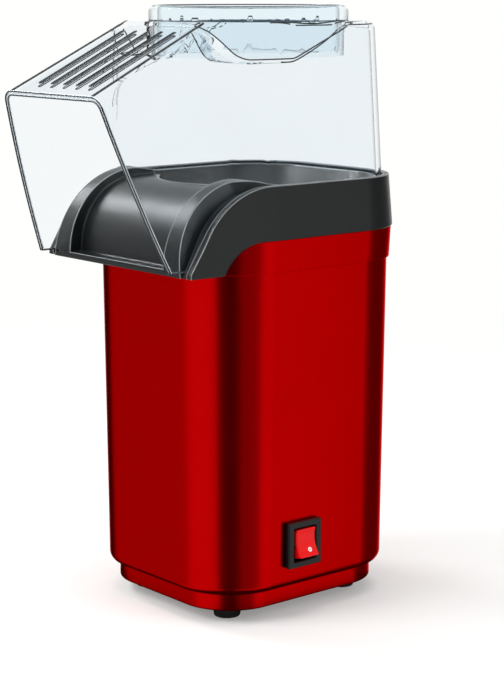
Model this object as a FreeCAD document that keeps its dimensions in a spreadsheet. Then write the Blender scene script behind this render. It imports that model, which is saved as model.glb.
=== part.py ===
import FreeCAD, Part
import math
import os
import Sketcher

Vector = FreeCAD.Vector

# A hot-air popcorn maker: a red drafted housing on a base with four feet, a black collar with a
# curved chute, a clear cover with a hood over the chute, and a measuring cup in the cover's top.
# The front faces -Y, the switch is on +X, and z = 0 is the surface that the feet stand on.
# Every plan outline is the same rounded rectangle, drawn in by an inset from the shoulder's top edge.

SIZES = {
    # Plan outline at the top edge of the shoulder ring, and the heights of the stacked pieces
    "body_width": 100, "body_depth": 110, "body_corner": 30.4,
    "foot_height": 5.5, "base_height": 7.3, "shell_height": 132.9, "shoulder_height": 13.1,
    "collar_height": 21.7, "cover_rise": 63.3, "cup_rise": 6.2,
    # Outer shell, shoulder ring and base
    "shell_wall": 2.2, "shell_taper": 1.4, "shell_edge_round": 4.0, "shell_flange": 22.0,
    "shoulder_flare": 0.7, "shoulder_step": 1.0, "shoulder_wall": 2.4,
    "shoulder_ledge": 1.2, "spigot_depth": 6.0, "spigot_wall": 1.8, "spigot_clearance": 0.2,
    "base_inset": 4.4, "base_wall": 2.4, "base_vent_width": 3.0, "base_vent_length": 34.0,
    "base_vent_pitch": 6.0, "base_vent_count": 7,
    "foot_margin_x": 23.0, "foot_margin_y": 22.8, "foot_diameter": 12.5, "foot_taper": 0.8,
    "boss_diameter": 8.0, "boss_height": 11.0,
    "screw_diameter": 3.0, "screw_head_diameter": 5.8, "screw_head_height": 2.0,
    "screw_clearance": 0.05, "screw_head_seat": 2.6, "screw_bite": 8.0,
    # Collar and chute
    "collar_overhang": 0.6, "collar_taper": 1.8, "collar_inner_drop": 1.0, "collar_skirt": 3.2,
    "funnel_land": 1.6, "funnel_foot": 1.4, "throat_margin": 2.4, "funnel_front": 24.0,
    "apron_start": 31.5, "apron_radius": 21.2, "lip_height": 2.6, "chute_reach": 67.0,
    "chute_margin": 2.4, "rim_bend_start": 26.0, "rim_bend_end": 58.0, "rim_bend_radius": 38.0,
    "rail_radius": 33.5, "rail_centre": 34.5, "rail_hump": 2.0, "rail_back": 10.0, "rail_tail": 20.0,
    "trough_margin": 18.5, "trough_radius": 27.5, "trough_crest_drop": 1.5, "chute_hollow_wall": 3.0,
    "chute_hollow_margin": 15.0, "groove_depth": 2.4, "groove_clearance": 0.6, "neck_wall": 7.0,
    "collar_pocket": 6.5,
    # Clear cover and hood
    "cover_wall": 2.0, "cover_foot_inset": 4.2, "cover_top_inset": 8.0, "cover_edge_round": 4.0,
    "cover_clearance": 0.5, "cover_foot_gap": 0.4,
    "hood_reach": 98.0, "hood_drop": 26.6, "hood_roof_start": 42.3, "hood_edge_round": 6.0,
    "hood_foot_margin": 5.5, "hood_head_margin": 17.7, "hood_back_margin": 19.6,
    "mouth_foot_reach": 73.0, "mouth_bulge": 1.2,
    "vent_count": 5, "vent_pitch": 8.5, "vent_width": 1.2, "vent_front": 91.0, "vent_rear": 50.0,
    "recess_depth": 14.0, "recess_front_top": 46.5, "recess_front_low": 36.0,
    "recess_rear_low": 10.0, "recess_rear_top": 23.5, "recess_round": 9.0,
    "recess_margin": 26.0,
    # Measuring cup
    "cup_offset": 2.0, "cup_margin": 10.4, "cup_rim_step": 1.9, "cup_depth": 14.3,
    "cup_wall": 1.8, "cup_floor": 2.0, "cup_clearance": 0.6, "cup_rim_round": 2.6,
    # Popping chamber, its seal and the heater tube
    "air_gap": 5.0, "chamber_wall": 0.8, "chamber_depth": 58.0, "chamber_cone": 6.0,
    "rear_room": 10.0, "flange_margin": 7.0, "seal_thickness": 0.8, "louvre_count": 20,
    "louvre_width": 1.6, "louvre_height": 12.0, "louvre_lift": 4.0,
    "tube_step": 4.0, "tube_wall": 1.4, "tube_bottom": 45.5, "tube_flange": 2.0,
    "ear_step": 5.0, "ear_diameter": 9.0, "pad_width": 20.0, "pad_stand": 3.5, "pad_height": 24.0,
    "pad_low": 112.0,
    # Heater boards, element, thermostat and thermal fuse
    "board_thickness": 1.0, "board_low": 66.0, "board_height": 30.0, "board_shoulder": 11.0,
    "board_foot_height": 5.0, "board_clearance": 0.1, "element_wire": 1.6, "element_turns": 4,
    "element_pitch": 5.0, "element_start": 8.0, "element_gap": 0.3, "element_angle": 330,
    "thermostat_diameter": 16.0, "thermostat_depth": 4.0, "thermostat_cap": 2.5,
    "thermostat_tab": 5.0, "fuse_diameter": 4.0, "fuse_length": 14.0, "fuse_lead": 1.0,
    # Motor, its bracket, the fan and the rectifier
    "bracket_plate": 2.5, "bracket_hub": 2.5, "bracket_rim": 5.0,
    "bracket_window_angle": 38.0, "bracket_windows": 4,
    "motor_diameter": 31.0, "motor_length": 25.0, "motor_wall": 1.2, "motor_cap": 3.5,
    "bush_diameter": 8.0, "bush_length": 4.0, "bearing_clearance": 0.03, "motor_screw_circle": 20.0,
    "motor_screw_diameter": 2.5, "motor_screw_head": 4.4, "magnet_thickness": 3.0,
    "magnet_angle": 130.0, "armature_diameter": 21.6, "armature_height": 12.0, "armature_slot": 3.0,
    "shaft_diameter": 3.0, "shaft_top": 58.0, "fan_gap": 5.0, "fan_low": 49.0,
    "fan_height": 8.0, "fan_hub_diameter": 16.0, "fan_blades": 7, "fan_blade_thickness": 1.2,
    "fan_root_chord": 9.0, "fan_tip_chord": 15.0,
    "rectifier_width": 24.0, "rectifier_depth": 14.0, "rectifier_board": 1.6,
    "diode_diameter": 2.6, "diode_length": 5.2, "diode_pitch": 5.0,
    # Rocker switch on the +X wall and the cord gland in the rear wall
    "switch_y": -9.0, "switch_z": 31.5, "bezel_width": 17.8, "bezel_height": 19.2, "bezel_proud": 2.6,
    "switch_body_width": 14.6, "switch_body_height": 16.4, "switch_body_depth": 17.0,
    "switch_gap": 0.2, "rocker_width": 10.2, "rocker_height": 12.6, "rocker_gap": 0.8,
    "rocker_depth": 7.0, "rocker_tilt": 12.0, "rocker_pin_diameter": 2.0, "rocker_pin_back": 2.2,
    "pin_clearance": 0.05, "pin_seat_clearance": 0.01, "rocker_crest": 0.82, "rocker_dish": 0.84,
    "rocker_proud": 1.6, "rocker_edge": 0.4, "rocker_heel": 5.94, "well_depth": 12.0, "tab_width": 4.8,
    "tab_thickness": 0.8, "tab_length": 7.0, "tab_pitch": 8.0,
    "gland_z": 26.0, "gland_bore": 7.0, "gland_body": 11.0, "gland_flange": 15.0,
    "gland_flange_depth": 2.4, "gland_inner_depth": 3.0, "gland_gap": 0.1,
}

# Sizes that follow the plan outline, each with its own margin, so that a narrower body still takes them
FOLLOWING = {
    "foot_spacing_x": "body_width - 2 * foot_margin_x",
    "foot_spacing_y": "body_depth - 2 * foot_margin_y",
    "chute_half": "body_width / 2 - chute_margin",
    "trough_half": "body_width / 2 - trough_margin",
    "chute_hollow_half": "body_width / 2 - chute_hollow_margin",
    "hood_foot_half": "body_width / 2 - hood_foot_margin",
    "hood_head_half": "body_width / 2 - hood_head_margin",
    "hood_back_half": "body_width / 2 - hood_back_margin",
    "recess_start": "body_width / 2 - recess_margin",
    "core_width": "min(body_width; body_depth - rear_room)",
    "cup_diameter": "core_width - 2 * cup_margin",
    "cup_rim_diameter": "cup_diameter + 2 * cup_rim_step",
    "chamber_flange_diameter": "core_width - 2 * flange_margin",
    "tube_diameter": "chamber_flange_diameter - 2 * tube_step",
    "chamber_diameter": "tube_diameter - 2 * air_gap",
    "ear_circle": "chamber_flange_diameter + 2 * ear_step",
    "pad_reach": "tube_diameter / 2 + pad_stand",
    "board_half": "tube_diameter / 2 - board_shoulder",
    "bracket_window_in": "motor_diameter / 2 + bracket_hub",
    "bracket_window_out": "tube_diameter / 2 - bracket_rim",
    "fan_diameter": "tube_diameter - 2 * fan_gap",
}

doc = FreeCAD.newDocument("popcorn_maker")
sheet = doc.addObject("Spreadsheet::Sheet", "size")
ROWS = list(SIZES.items()) + [(alias, f"={formula}") for alias, formula in FOLLOWING.items()]
for row, (alias, value) in enumerate(ROWS, start=1):
    sheet.set(f"A{row}", alias)
    sheet.set(f"B{row}", str(value))
    sheet.setAlias(f"B{row}", alias)
doc.recompute()

# Heights of the joints between the stacked pieces
Z_BASE = "size.foot_height"
Z_SHELL = f"({Z_BASE} + size.base_height)"
Z_SHOULDER = f"({Z_SHELL} + size.shell_height)"
Z_LEDGE = f"({Z_SHOULDER} + size.shoulder_ledge)"
Z_LIP = f"({Z_LEDGE} + size.lip_height)"
Z_COLLAR = f"({Z_SHOULDER} + size.shoulder_height)"
Z_RIM = f"({Z_COLLAR} + size.collar_height)"
Z_DECK = f"({Z_RIM} + size.cover_rise)"
Z_TOP = f"({Z_DECK} + size.cup_rise)"
Z_SEAL = f"({Z_COLLAR} - size.seal_thickness)"
Z_FLANGE = f"({Z_SEAL} - size.chamber_wall)"

# Insets of the plan outline at each level
SHELL_TOP = "(size.shoulder_flare + size.shoulder_step)"
SHELL_LOW = f"({SHELL_TOP} + size.shell_taper)"
BASE = f"({SHELL_LOW} + size.base_inset)"

# The origin lies under the middle of the whole, so the body's axis stands behind it
AXIS_Y = "((size.hood_reach - size.body_depth / 2 - size.collar_overhang) / 2)"

# The chamber's mouth in the collar, the tube and the motor's faces
THROAT = "(size.chamber_diameter / 2 + size.throat_margin)"
TUBE_OUT = "(size.tube_diameter / 2 + size.tube_wall)"
MOTOR_TOP = "(size.tube_bottom - size.bracket_plate)"
MOTOR_LOW = f"({MOTOR_TOP} - size.motor_length)"
CAP_LOW = f"({MOTOR_LOW} - size.motor_cap)"
SCREW_HOLE = "(size.screw_diameter / 2 + size.screw_clearance)"


# Edges are picked by where they lie, to within this length in millimetres
CLOSE = 0.01
# How far a cutting form runs past the face it opens, and the hood past its mouth before the mouth is cut.
OVERRUN = 1.0
HOOD_SPARE = 5.0


def mm(expression):
    return float(sheet.evalExpression(expression))


def new_body(label):
    """A body whose own axis is the housing's axis."""
    owner = doc.addObject("PartDesign::Body", label)
    owner.Label = label
    owner.setExpression("Placement.Base.y", AXIS_Y)
    return owner


def origin_feature(owner, role):
    return next(item for item in owner.Origin.OriginFeatures if item.Role == role)


def profile(owner, points, plane="XY_Plane", offset="0", arcs=None):
    """A closed sketch through points given as expressions; arcs gives a radius to some of its edges.

    An arc's centre lies to the left of the way from its first point to its second.
    """
    sketch = owner.newObject("Sketcher::SketchObject", "sketch")
    sketch.AttachmentSupport = [(origin_feature(owner, plane), "")]
    sketch.MapMode = "FlatFace"
    sketch.setExpression("AttachmentOffset.Base.z", offset)
    add_loop(sketch, points, arcs or {})
    return sketch


def add_loop(sketch, points, arcs):
    first = sketch.GeometryCount
    count = len(points)
    places = [Vector(mm(x), mm(y), 0) for x, y in points]
    for index in range(count):
        start = places[index]
        end = places[(index + 1) % count]
        if index in arcs:
            sketch.addGeometry(left_arc(start, end, mm(arcs[index])), False)
        else:
            sketch.addGeometry(Part.LineSegment(start, end), False)
    for index in range(count):
        following = first + (index + 1) % count
        sketch.addConstraint(Sketcher.Constraint("Coincident", first + index, 2, following, 1))
        bind(sketch, "DistanceX", first + index, points[index][0])
        bind(sketch, "DistanceY", first + index, points[index][1])
        if index in arcs:
            radius = sketch.addConstraint(Sketcher.Constraint("Radius", first + index, mm(arcs[index])))
            sketch.setExpression(f"Constraints[{radius}]", arcs[index])


def bind(sketch, kind, edge, expression):
    number = sketch.addConstraint(Sketcher.Constraint(kind, -1, 1, edge, 1, mm(expression)))
    sketch.setExpression(f"Constraints[{number}]", expression)


def left_arc(start, end, radius):
    half = (end - start) / 2
    rise = math.sqrt(max(radius ** 2 - half.Length ** 2, 0))
    left = Vector(-half.y, half.x, 0).normalize()
    centre = start + half + left * rise
    first = math.atan2(start.y - centre.y, start.x - centre.x)
    last = math.atan2(end.y - centre.y, end.x - centre.x)
    return Part.ArcOfCircle(Part.Circle(centre, Vector(0, 0, 1), radius), first, last)


def rounded_points(half_x, half_y, radius):
    """Corner points of a rounded rectangle about the axis, with an arc on every second edge."""
    near_x = f"({half_x} - {radius})"
    near_y = f"({half_y} - {radius})"
    points = [(half_x, f"-{near_y}"), (half_x, near_y), (near_x, half_y), (f"-{near_x}", half_y),
              (f"-{half_x}", near_y), (f"-{half_x}", f"-{near_y}"), (f"-{near_x}", f"-{half_y}"),
              (near_x, f"-{half_y}")]
    return points, {edge: radius for edge in (1, 3, 5, 7)}


def outline_points(inset):
    return rounded_points(f"(size.body_width / 2 - {inset})", f"(size.body_depth / 2 - {inset})",
                          f"(size.body_corner - {inset})")


def outline_sketch(owner, inset, height):
    points, arcs = outline_points(inset)
    return profile(owner, points, offset=height, arcs=arcs)


def circle_sketch(owner, centres, radius, plane="XY_Plane", offset="0"):
    sketch = owner.newObject("Sketcher::SketchObject", "circles")
    sketch.AttachmentSupport = [(origin_feature(owner, plane), "")]
    sketch.MapMode = "FlatFace"
    sketch.setExpression("AttachmentOffset.Base.z", offset)
    for number, (x, y) in enumerate(centres):
        circle = Part.Circle(Vector(mm(x), mm(y), 0), Vector(0, 0, 1), mm(radius))
        sketch.addGeometry(circle, False)
        for kind, place in (("DistanceX", x), ("DistanceY", y)):
            held = sketch.addConstraint(Sketcher.Constraint(kind, -1, 1, number, 3, mm(place)))
            sketch.setExpression(f"Constraints[{held}]", place)
        size = sketch.addConstraint(Sketcher.Constraint("Radius", number, mm(radius)))
        sketch.setExpression(f"Constraints[{size}]", radius)
    return sketch


def pad(owner, sketch, length, reverse=False):
    feature = owner.newObject("PartDesign::Pad", "pad")
    feature.Profile = sketch
    feature.setExpression("Length", length)
    feature.Reversed = reverse
    return feature


def pocket(owner, sketch, length, reverse=False):
    """Cut against the sketch's normal, or along it when reversed; it has to take something away."""
    doc.recompute()
    before = owner.Shape.Volume
    feature = owner.newObject("PartDesign::Pocket", "pocket")
    feature.Profile = sketch
    feature.setExpression("Length", length)
    feature.Reversed = reverse
    doc.recompute()
    if not owner.Shape.Volume < before:
        raise RuntimeError(f"a pocket of {owner.Label} cut nothing")
    return feature


def loft(owner, kind, low, high):
    feature = owner.newObject(f"PartDesign::{kind}", "loft")
    feature.Profile = low
    feature.Sections = [high]
    feature.Ruled = True
    return feature


def revolve(owner, points, arcs=None):
    """Turn a profile given as (radius, height) about the body's axis."""
    feature = owner.newObject("PartDesign::Revolution", "turned")
    sketch = profile(owner, points, "XZ_Plane", arcs=arcs)
    feature.Profile = sketch
    feature.ReferenceAxis = (sketch, ["V_Axis"])
    feature.Angle = 360
    return feature


def repeat_round(owner, feature, count):
    doc.recompute()
    pattern = owner.newObject("PartDesign::PolarPattern", "round_the_axis")
    pattern.Originals = [feature]
    pattern.Axis = (origin_feature(owner, "Z_Axis"), [""])
    pattern.Angle = 360
    pattern.setExpression("Occurrences", count)
    owner.Tip = pattern
    return pattern


def edges_at_height(shape, height):
    """Names of the edges that lie in one level plane."""
    close = 1e-4
    names = []
    for number, edge in enumerate(shape.Edges, start=1):
        box = edge.BoundBox
        if abs(box.ZMin - height) < close and abs(box.ZMax - height) < close:
            names.append(f"Edge{number}")
    return names


def solid(kind, sizes, place=("0", "0", "0"), turn=None):
    """A primitive with its sizes and place bound to the sheet; turn is an axis and an angle."""
    item = doc.addObject(f"Part::{kind}", kind.lower())
    if turn:
        item.Placement = FreeCAD.Placement(Vector(), FreeCAD.Rotation(*turn))
    for name, expression in sizes.items():
        item.setExpression(name, expression)
    for axis, expression in zip("xyz", place):
        item.setExpression(f"Placement.Base.{axis}", expression)
    return item


def cylinder(radius, height, place=("0", "0", "0"), turn=None):
    return solid("Cylinder", {"Radius": radius, "Height": height}, place, turn)


def block(width, depth, height, place):
    """A box given by the middle of its underside."""
    x, y, z = place
    corner = (f"{x} - ({width}) / 2", f"{y} - ({depth}) / 2", z)
    return solid("Box", {"Length": width, "Width": depth, "Height": height}, corner)


def fused(*items):
    joined = doc.addObject("Part::MultiFuse", "joined")
    joined.Shapes = list(items)
    return joined


def cut(base, tool):
    result = doc.addObject("Part::Cut", "cut")
    result.Base = base
    result.Tool = tool
    return result


def node(label, items):
    """One sub-part of one or more solids, set on the housing's axis."""
    group = doc.addObject("Part::Compound", label)
    group.Label = label
    group.Links = items
    group.setExpression("Placement.Base.y", AXIS_Y)
    return group


def shaped(label, shape):
    """A sub-part whose surfaces need more than sketches and primitives give."""
    item = doc.addObject("Part::Feature", label)
    item.Label = label
    item.Shape = shape
    item.Placement = FreeCAD.Placement(Vector(0, mm(AXIS_Y), 0), FreeCAD.Rotation()) * shape.Placement
    return item


def corner_places(spacing_x, spacing_y):
    return [(f"{sx} * {spacing_x} / 2", f"{sy} * {spacing_y} / 2") for sx in (-1, 1) for sy in (-1, 1)]


FOOT_PLACES = corner_places("size.foot_spacing_x", "size.foot_spacing_y")
EAR_SPACING = "(size.ear_circle / 2 * sqrt(2))"
EAR_PLACES = corner_places(EAR_SPACING, EAR_SPACING)


# Housing

def outer_shell():
    owner = new_body("outer_shell")
    form = pad(owner, outline_sketch(owner, SHELL_TOP, Z_SHOULDER), "size.shell_height", reverse=True)
    doc.recompute()
    sides = [f"Face{number}" for number, face in enumerate(form.Shape.Faces, start=1)
             if face.BoundBox.ZLength > mm("size.shell_height") / 2]
    draft = owner.newObject("PartDesign::Draft", "drafted_sides")
    draft.Base = (form, sides)
    top_face = next(f"Face{number}" for number, face in enumerate(form.Shape.Faces, start=1)
                    if face.BoundBox.ZMin > mm(Z_SHOULDER) - 0.01)
    draft.NeutralPlane = (form, [top_face])
    draft.PullDirection = None
    draft.setExpression("Angle", "atan(size.shell_taper / size.shell_height)")
    draft.Reversed = True
    doc.recompute()
    rounding = owner.newObject("PartDesign::Fillet", "bottom_edge")
    rounding.Base = (draft, edges_at_height(draft.Shape, mm(Z_SHELL)))
    rounding.setExpression("Radius", "size.shell_edge_round")
    doc.recompute()
    loft(owner, "SubtractiveLoft",
         outline_sketch(owner, f"({SHELL_LOW} + size.shell_wall)", f"{Z_SHELL} + size.shell_wall"),
         outline_sketch(owner, f"({SHELL_TOP} + size.shell_wall)", Z_SHOULDER))
    doc.recompute()
    pad(owner, circle_sketch(owner, FOOT_PLACES, "size.boss_diameter / 2",
                             offset=f"{Z_SHELL} + size.shell_wall / 2"), "size.boss_height")
    opening = outline_sketch(owner, f"({SHELL_LOW} + size.shell_flange)", f"{Z_SHELL} + size.shell_wall")
    pocket(owner, opening, "size.shell_wall")
    pilot = circle_sketch(owner, FOOT_PLACES, SCREW_HOLE, offset=Z_SHELL)
    pocket(owner, pilot, "size.screw_bite + size.shell_wall", reverse=True)
    cutout = profile(owner, switch_window("size.switch_gap"), "YZ_Plane")
    pocket(owner, cutout, "size.body_width", reverse=True)
    gland = circle_sketch(owner, [("0", "size.gland_z")], "size.gland_body / 2 + size.gland_gap", "XZ_Plane")
    pocket(owner, gland, "size.body_depth")
    return owner


def switch_window(gap):
    half_y = f"(size.switch_body_width / 2 + {gap})"
    half_z = f"(size.switch_body_height / 2 + {gap})"
    return [(f"size.switch_y - {half_y}", f"size.switch_z - {half_z}"),
            (f"size.switch_y + {half_y}", f"size.switch_z - {half_z}"),
            (f"size.switch_y + {half_y}", f"size.switch_z + {half_z}"),
            (f"size.switch_y - {half_y}", f"size.switch_z + {half_z}")]


def shoulder_ring():
    owner = new_body("shoulder_ring")
    loft(owner, "AdditiveLoft", outline_sketch(owner, "size.shoulder_flare", Z_SHOULDER),
         outline_sketch(owner, "0", Z_COLLAR))
    doc.recompute()
    loft(owner, "SubtractiveLoft",
         outline_sketch(owner, "(size.shoulder_flare + size.shoulder_wall)", Z_LEDGE),
         outline_sketch(owner, "size.shoulder_wall", Z_COLLAR))
    spigot_out = f"({SHELL_TOP} + size.shell_wall + size.spigot_clearance)"
    spigot_in = f"({spigot_out} + size.spigot_wall)"
    pad(owner, outline_sketch(owner, spigot_out, f"{Z_SHOULDER} + size.shoulder_ledge / 2"),
        "size.spigot_depth + size.shoulder_ledge / 2", reverse=True)
    through = outline_sketch(owner, spigot_in, f"{Z_LEDGE}")
    pocket(owner, through, "size.spigot_depth + size.shoulder_ledge")
    apron = profile(owner, apron_points("2 * size.collar_height"), "YZ_Plane",
                    arcs={0: "size.apron_radius"})
    front = owner.newObject("PartDesign::Pocket", "apron_cut")
    front.Profile = apron
    front.Midplane = True
    front.setExpression("Length", "2 * size.body_width")
    return owner


APRON_DROP = "(size.shoulder_height - size.shoulder_ledge)"
APRON_END = f"(size.apron_start + sqrt({APRON_DROP} * (2 * size.apron_radius - {APRON_DROP})))"


def apron_points(rise):
    """The side view of the space that the collar's apron takes in front of the shoulder ring."""
    front = "-2 * size.chute_reach"
    return [("-size.apron_start", Z_COLLAR), (f"-{APRON_END}", Z_LEDGE), (front, Z_LEDGE),
            (front, f"{Z_COLLAR} + {rise}"), ("-size.apron_start", f"{Z_COLLAR} + {rise}")]


def base_plate():
    owner = new_body("base_plate")
    pad(owner, outline_sketch(owner, BASE, Z_BASE), "size.base_height")
    pocket(owner, outline_sketch(owner, f"({BASE} + size.base_wall)", Z_SHELL),
           "size.base_height - size.base_wall")
    pad(owner, circle_sketch(owner, FOOT_PLACES, "size.boss_diameter / 2",
                             offset=f"{Z_BASE} + size.base_wall / 2"),
        "size.base_height - size.base_wall / 2")
    pocket(owner, circle_sketch(owner, FOOT_PLACES, SCREW_HOLE, offset=Z_SHELL), "size.base_height")
    span = "((size.base_vent_count - 1) * size.base_vent_pitch)"
    low = f"(-{span} / 2 - size.base_vent_width / 2)"
    half = "size.base_vent_length / 2"
    slot = [(f"-{half}", low), (half, low), (half, f"{low} + size.base_vent_width"),
            (f"-{half}", f"{low} + size.base_vent_width")]
    vent = pocket(owner, profile(owner, slot, offset=f"{Z_BASE} + size.base_wall"), "size.base_wall")
    row = owner.newObject("PartDesign::LinearPattern", "vents")
    row.Originals = [vent]
    row.Direction = (origin_feature(owner, "Y_Axis"), [""])
    row.setExpression("Length", span)
    row.setExpression("Occurrences", "size.base_vent_count")
    owner.Tip = row
    return owner


def feet():
    pieces = []
    for x, y in FOOT_PLACES:
        foot = solid("Cone", {"Radius1": "size.foot_diameter / 2 - size.foot_taper",
                              "Radius2": "size.foot_diameter / 2", "Height": Z_BASE}, (x, y, "0"))
        counterbore = cylinder("size.screw_head_diameter / 2 + size.foot_taper", "size.screw_head_seat",
                               (x, y, "0"))
        hole = cylinder(SCREW_HOLE, Z_BASE, (x, y, "0"))
        pieces.append(cut(foot, fused(counterbore, hole)))
    return node("feet", pieces)


def base_screws():
    pieces = []
    for x, y in FOOT_PLACES:
        head = cylinder("size.screw_head_diameter / 2", "size.screw_head_height",
                        (x, y, "size.screw_head_seat - size.screw_head_height"))
        shank = cylinder("size.screw_diameter / 2",
                         f"{Z_SHELL} + size.screw_bite - size.screw_head_seat",
                         (x, y, "size.screw_head_seat"))
        pieces.append(fused(head, shank))
    return node("base_screws", pieces)


# Collar with chute, and the clear cover that stands in its groove

def place(y, z):
    return Vector(0, y, z)


def outline_wire(inset, height):
    half_x = mm("size.body_width") / 2 - inset
    half_y = mm("size.body_depth") / 2 - inset
    radius = mm("size.body_corner") - inset
    edges = []
    corners = [(1, 1), (-1, 1), (-1, -1), (1, -1)]
    for number, (sx, sy) in enumerate(corners):
        centre = Vector(sx * (half_x - radius), sy * (half_y - radius), height)
        angle = number * math.pi / 2
        arc = Part.ArcOfCircle(Part.Circle(centre, Vector(0, 0, 1), radius), angle, angle + math.pi / 2)
        edges.append(arc.toShape())
    wire = []
    for number, edge in enumerate(edges):
        following = edges[(number + 1) % len(edges)]
        wire += [edge, Part.makeLine(edge.Vertexes[-1].Point, following.Vertexes[0].Point)]
    return Part.Wire(wire)


def drafted(low, z_low, high, z_high):
    return Part.makeLoft([outline_wire(low, z_low), outline_wire(high, z_high)], True, True)


def side_slab(edges):
    """A side view's closed outline, given as edges at x = 0, carried across the whole width."""
    width = 2 * mm("size.body_width")
    face = Part.Face(Part.Wire(edges))
    face.translate(Vector(-width / 2, 0, 0))
    return face.extrude(Vector(width, 0, 0))


def chain(points):
    return [Part.makeLine(first, second) for first, second in zip(points, points[1:])]


def arc_through(centre, radius, first, last):
    """An arc in the side view; angles in degrees from +Y towards +Z."""
    spots = []
    for angle in (first, (first + last) / 2, last):
        turn = math.radians(angle)
        spots.append(centre + Vector(0, radius * math.cos(turn), radius * math.sin(turn)))
    return Part.Arc(*spots).toShape(), spots[0], spots[-1]


def under_rim(drop):
    """All that lies under the collar's outer rim, lowered by drop: level behind, bent down in front."""
    rear = mm("size.body_depth")
    floor = mm(Z_SHELL)
    rim = mm(Z_RIM) - drop
    radius = mm("size.rim_bend_radius")
    start = place(-mm("size.rim_bend_start"), rim)
    reach = mm("size.rim_bend_end - size.rim_bend_start")
    angle = math.degrees(math.asin(reach / radius))
    bend, first, last = arc_through(start - place(0, radius), radius, 90, 90 + angle)
    run = (last.z - floor) / math.tan(math.radians(angle))
    foot = place(last.y - run, floor)
    back = [foot, place(rear, floor), place(rear, rim), first]
    return side_slab([bend] + chain([last] + back))


def above_apron():
    """All that lies above the collar's lower edge, with the apron's curve at the front."""
    rear = mm("size.body_depth")
    top = mm(Z_TOP)
    level = mm(Z_COLLAR)
    ledge = mm(Z_LEDGE)
    front = -2 * mm("size.chute_reach")
    start = place(-mm("size.apron_start"), level)
    radius = mm("size.apron_radius")
    drop = level - ledge
    angle = math.degrees(math.acos((radius - drop) / radius))
    curve, first, last = arc_through(start - place(0, radius), radius, 90, 90 + angle)
    rest = [last, place(front, ledge), place(front, top), place(rear, top), place(rear, level), first]
    return side_slab([curve] + chain(rest))


def under_rails():
    """All that lies under the two rails' humped tops and the lower inner edge behind them."""
    rear = mm("size.body_depth")
    floor = mm(Z_SHELL)
    level = mm(f"{Z_RIM} - size.collar_inner_drop")
    radius = mm("size.rail_radius")
    middle = -mm("size.rail_centre")
    centre = place(middle, mm(f"{Z_RIM} + size.rail_hump") - radius)
    back = math.degrees(math.acos(mm("size.rail_back") / radius))
    hump, first, last = arc_through(centre, radius, back, 180)
    rest = [last, place(last.y, floor), place(rear, floor), place(rear, level),
            place(middle + mm("size.rail_tail"), level), first]
    return side_slab([hump] + chain(rest))


def trough_floor(inward):
    """The side view of the trough's convex floor, drawn in by a wall for the hollow beneath it."""
    radius = mm("size.trough_radius")
    centre = place(-mm("size.rail_centre"), mm(f"{Z_RIM} - size.trough_crest_drop") - radius)
    return arc_through(centre, radius - inward, 90, 180)


def limited(shape, half_x, y_low, y_high, z_low, z_high):
    slab = Part.makeBox(2 * half_x, y_high - y_low, z_high - z_low, Vector(-half_x, y_low, z_low))
    return shape.common(slab)


def trough_space():
    """What is open above the trough between the rails, out over the lip."""
    floor, first, last = trough_floor(0)
    lip = mm(Z_LIP)
    front = -2 * mm("size.chute_reach")
    top = mm(Z_TOP)
    rest = [last, place(last.y, lip), place(front, lip), place(front, top), place(0, top),
            place(0, first.z), first]
    half = mm("size.trough_half")
    return limited(side_slab([floor] + chain(rest)), half, front, 0, 0, top)


def chute_hollow():
    """The moulded hollow under the trough, open below."""
    roof, first, last = trough_floor(mm("size.chute_hollow_wall"))
    low = mm(Z_SHOULDER)
    back = mm(f"{THROAT} + size.neck_wall") + mm("size.chute_hollow_wall")
    rest = [last, place(last.y, low), place(first.y, low), first]
    shape = side_slab([roof] + chain(rest))
    return limited(shape, mm("size.chute_hollow_half"), last.y, -back, low, mm(Z_TOP))


def chute_block(inset_low, z_low, inset_high, z_high):
    """The chute's body in plan: its sides draw in a little from the collar to the lip."""
    def plan(inset, height):
        wide = mm("size.body_width") / 2 - inset
        narrow = mm("size.chute_half") - inset
        back = mm("size.body_depth") / 2 - mm("size.body_corner")
        reach = mm("size.chute_reach")
        corners = [Vector(wide, -back, height), Vector(-wide, -back, height),
                   Vector(-narrow, -reach, height), Vector(narrow, -reach, height)]
        return Part.makePolygon(corners + corners[:1])
    return Part.makeLoft([plan(inset_low, z_low), plan(inset_high, z_high)], True, True)


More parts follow.
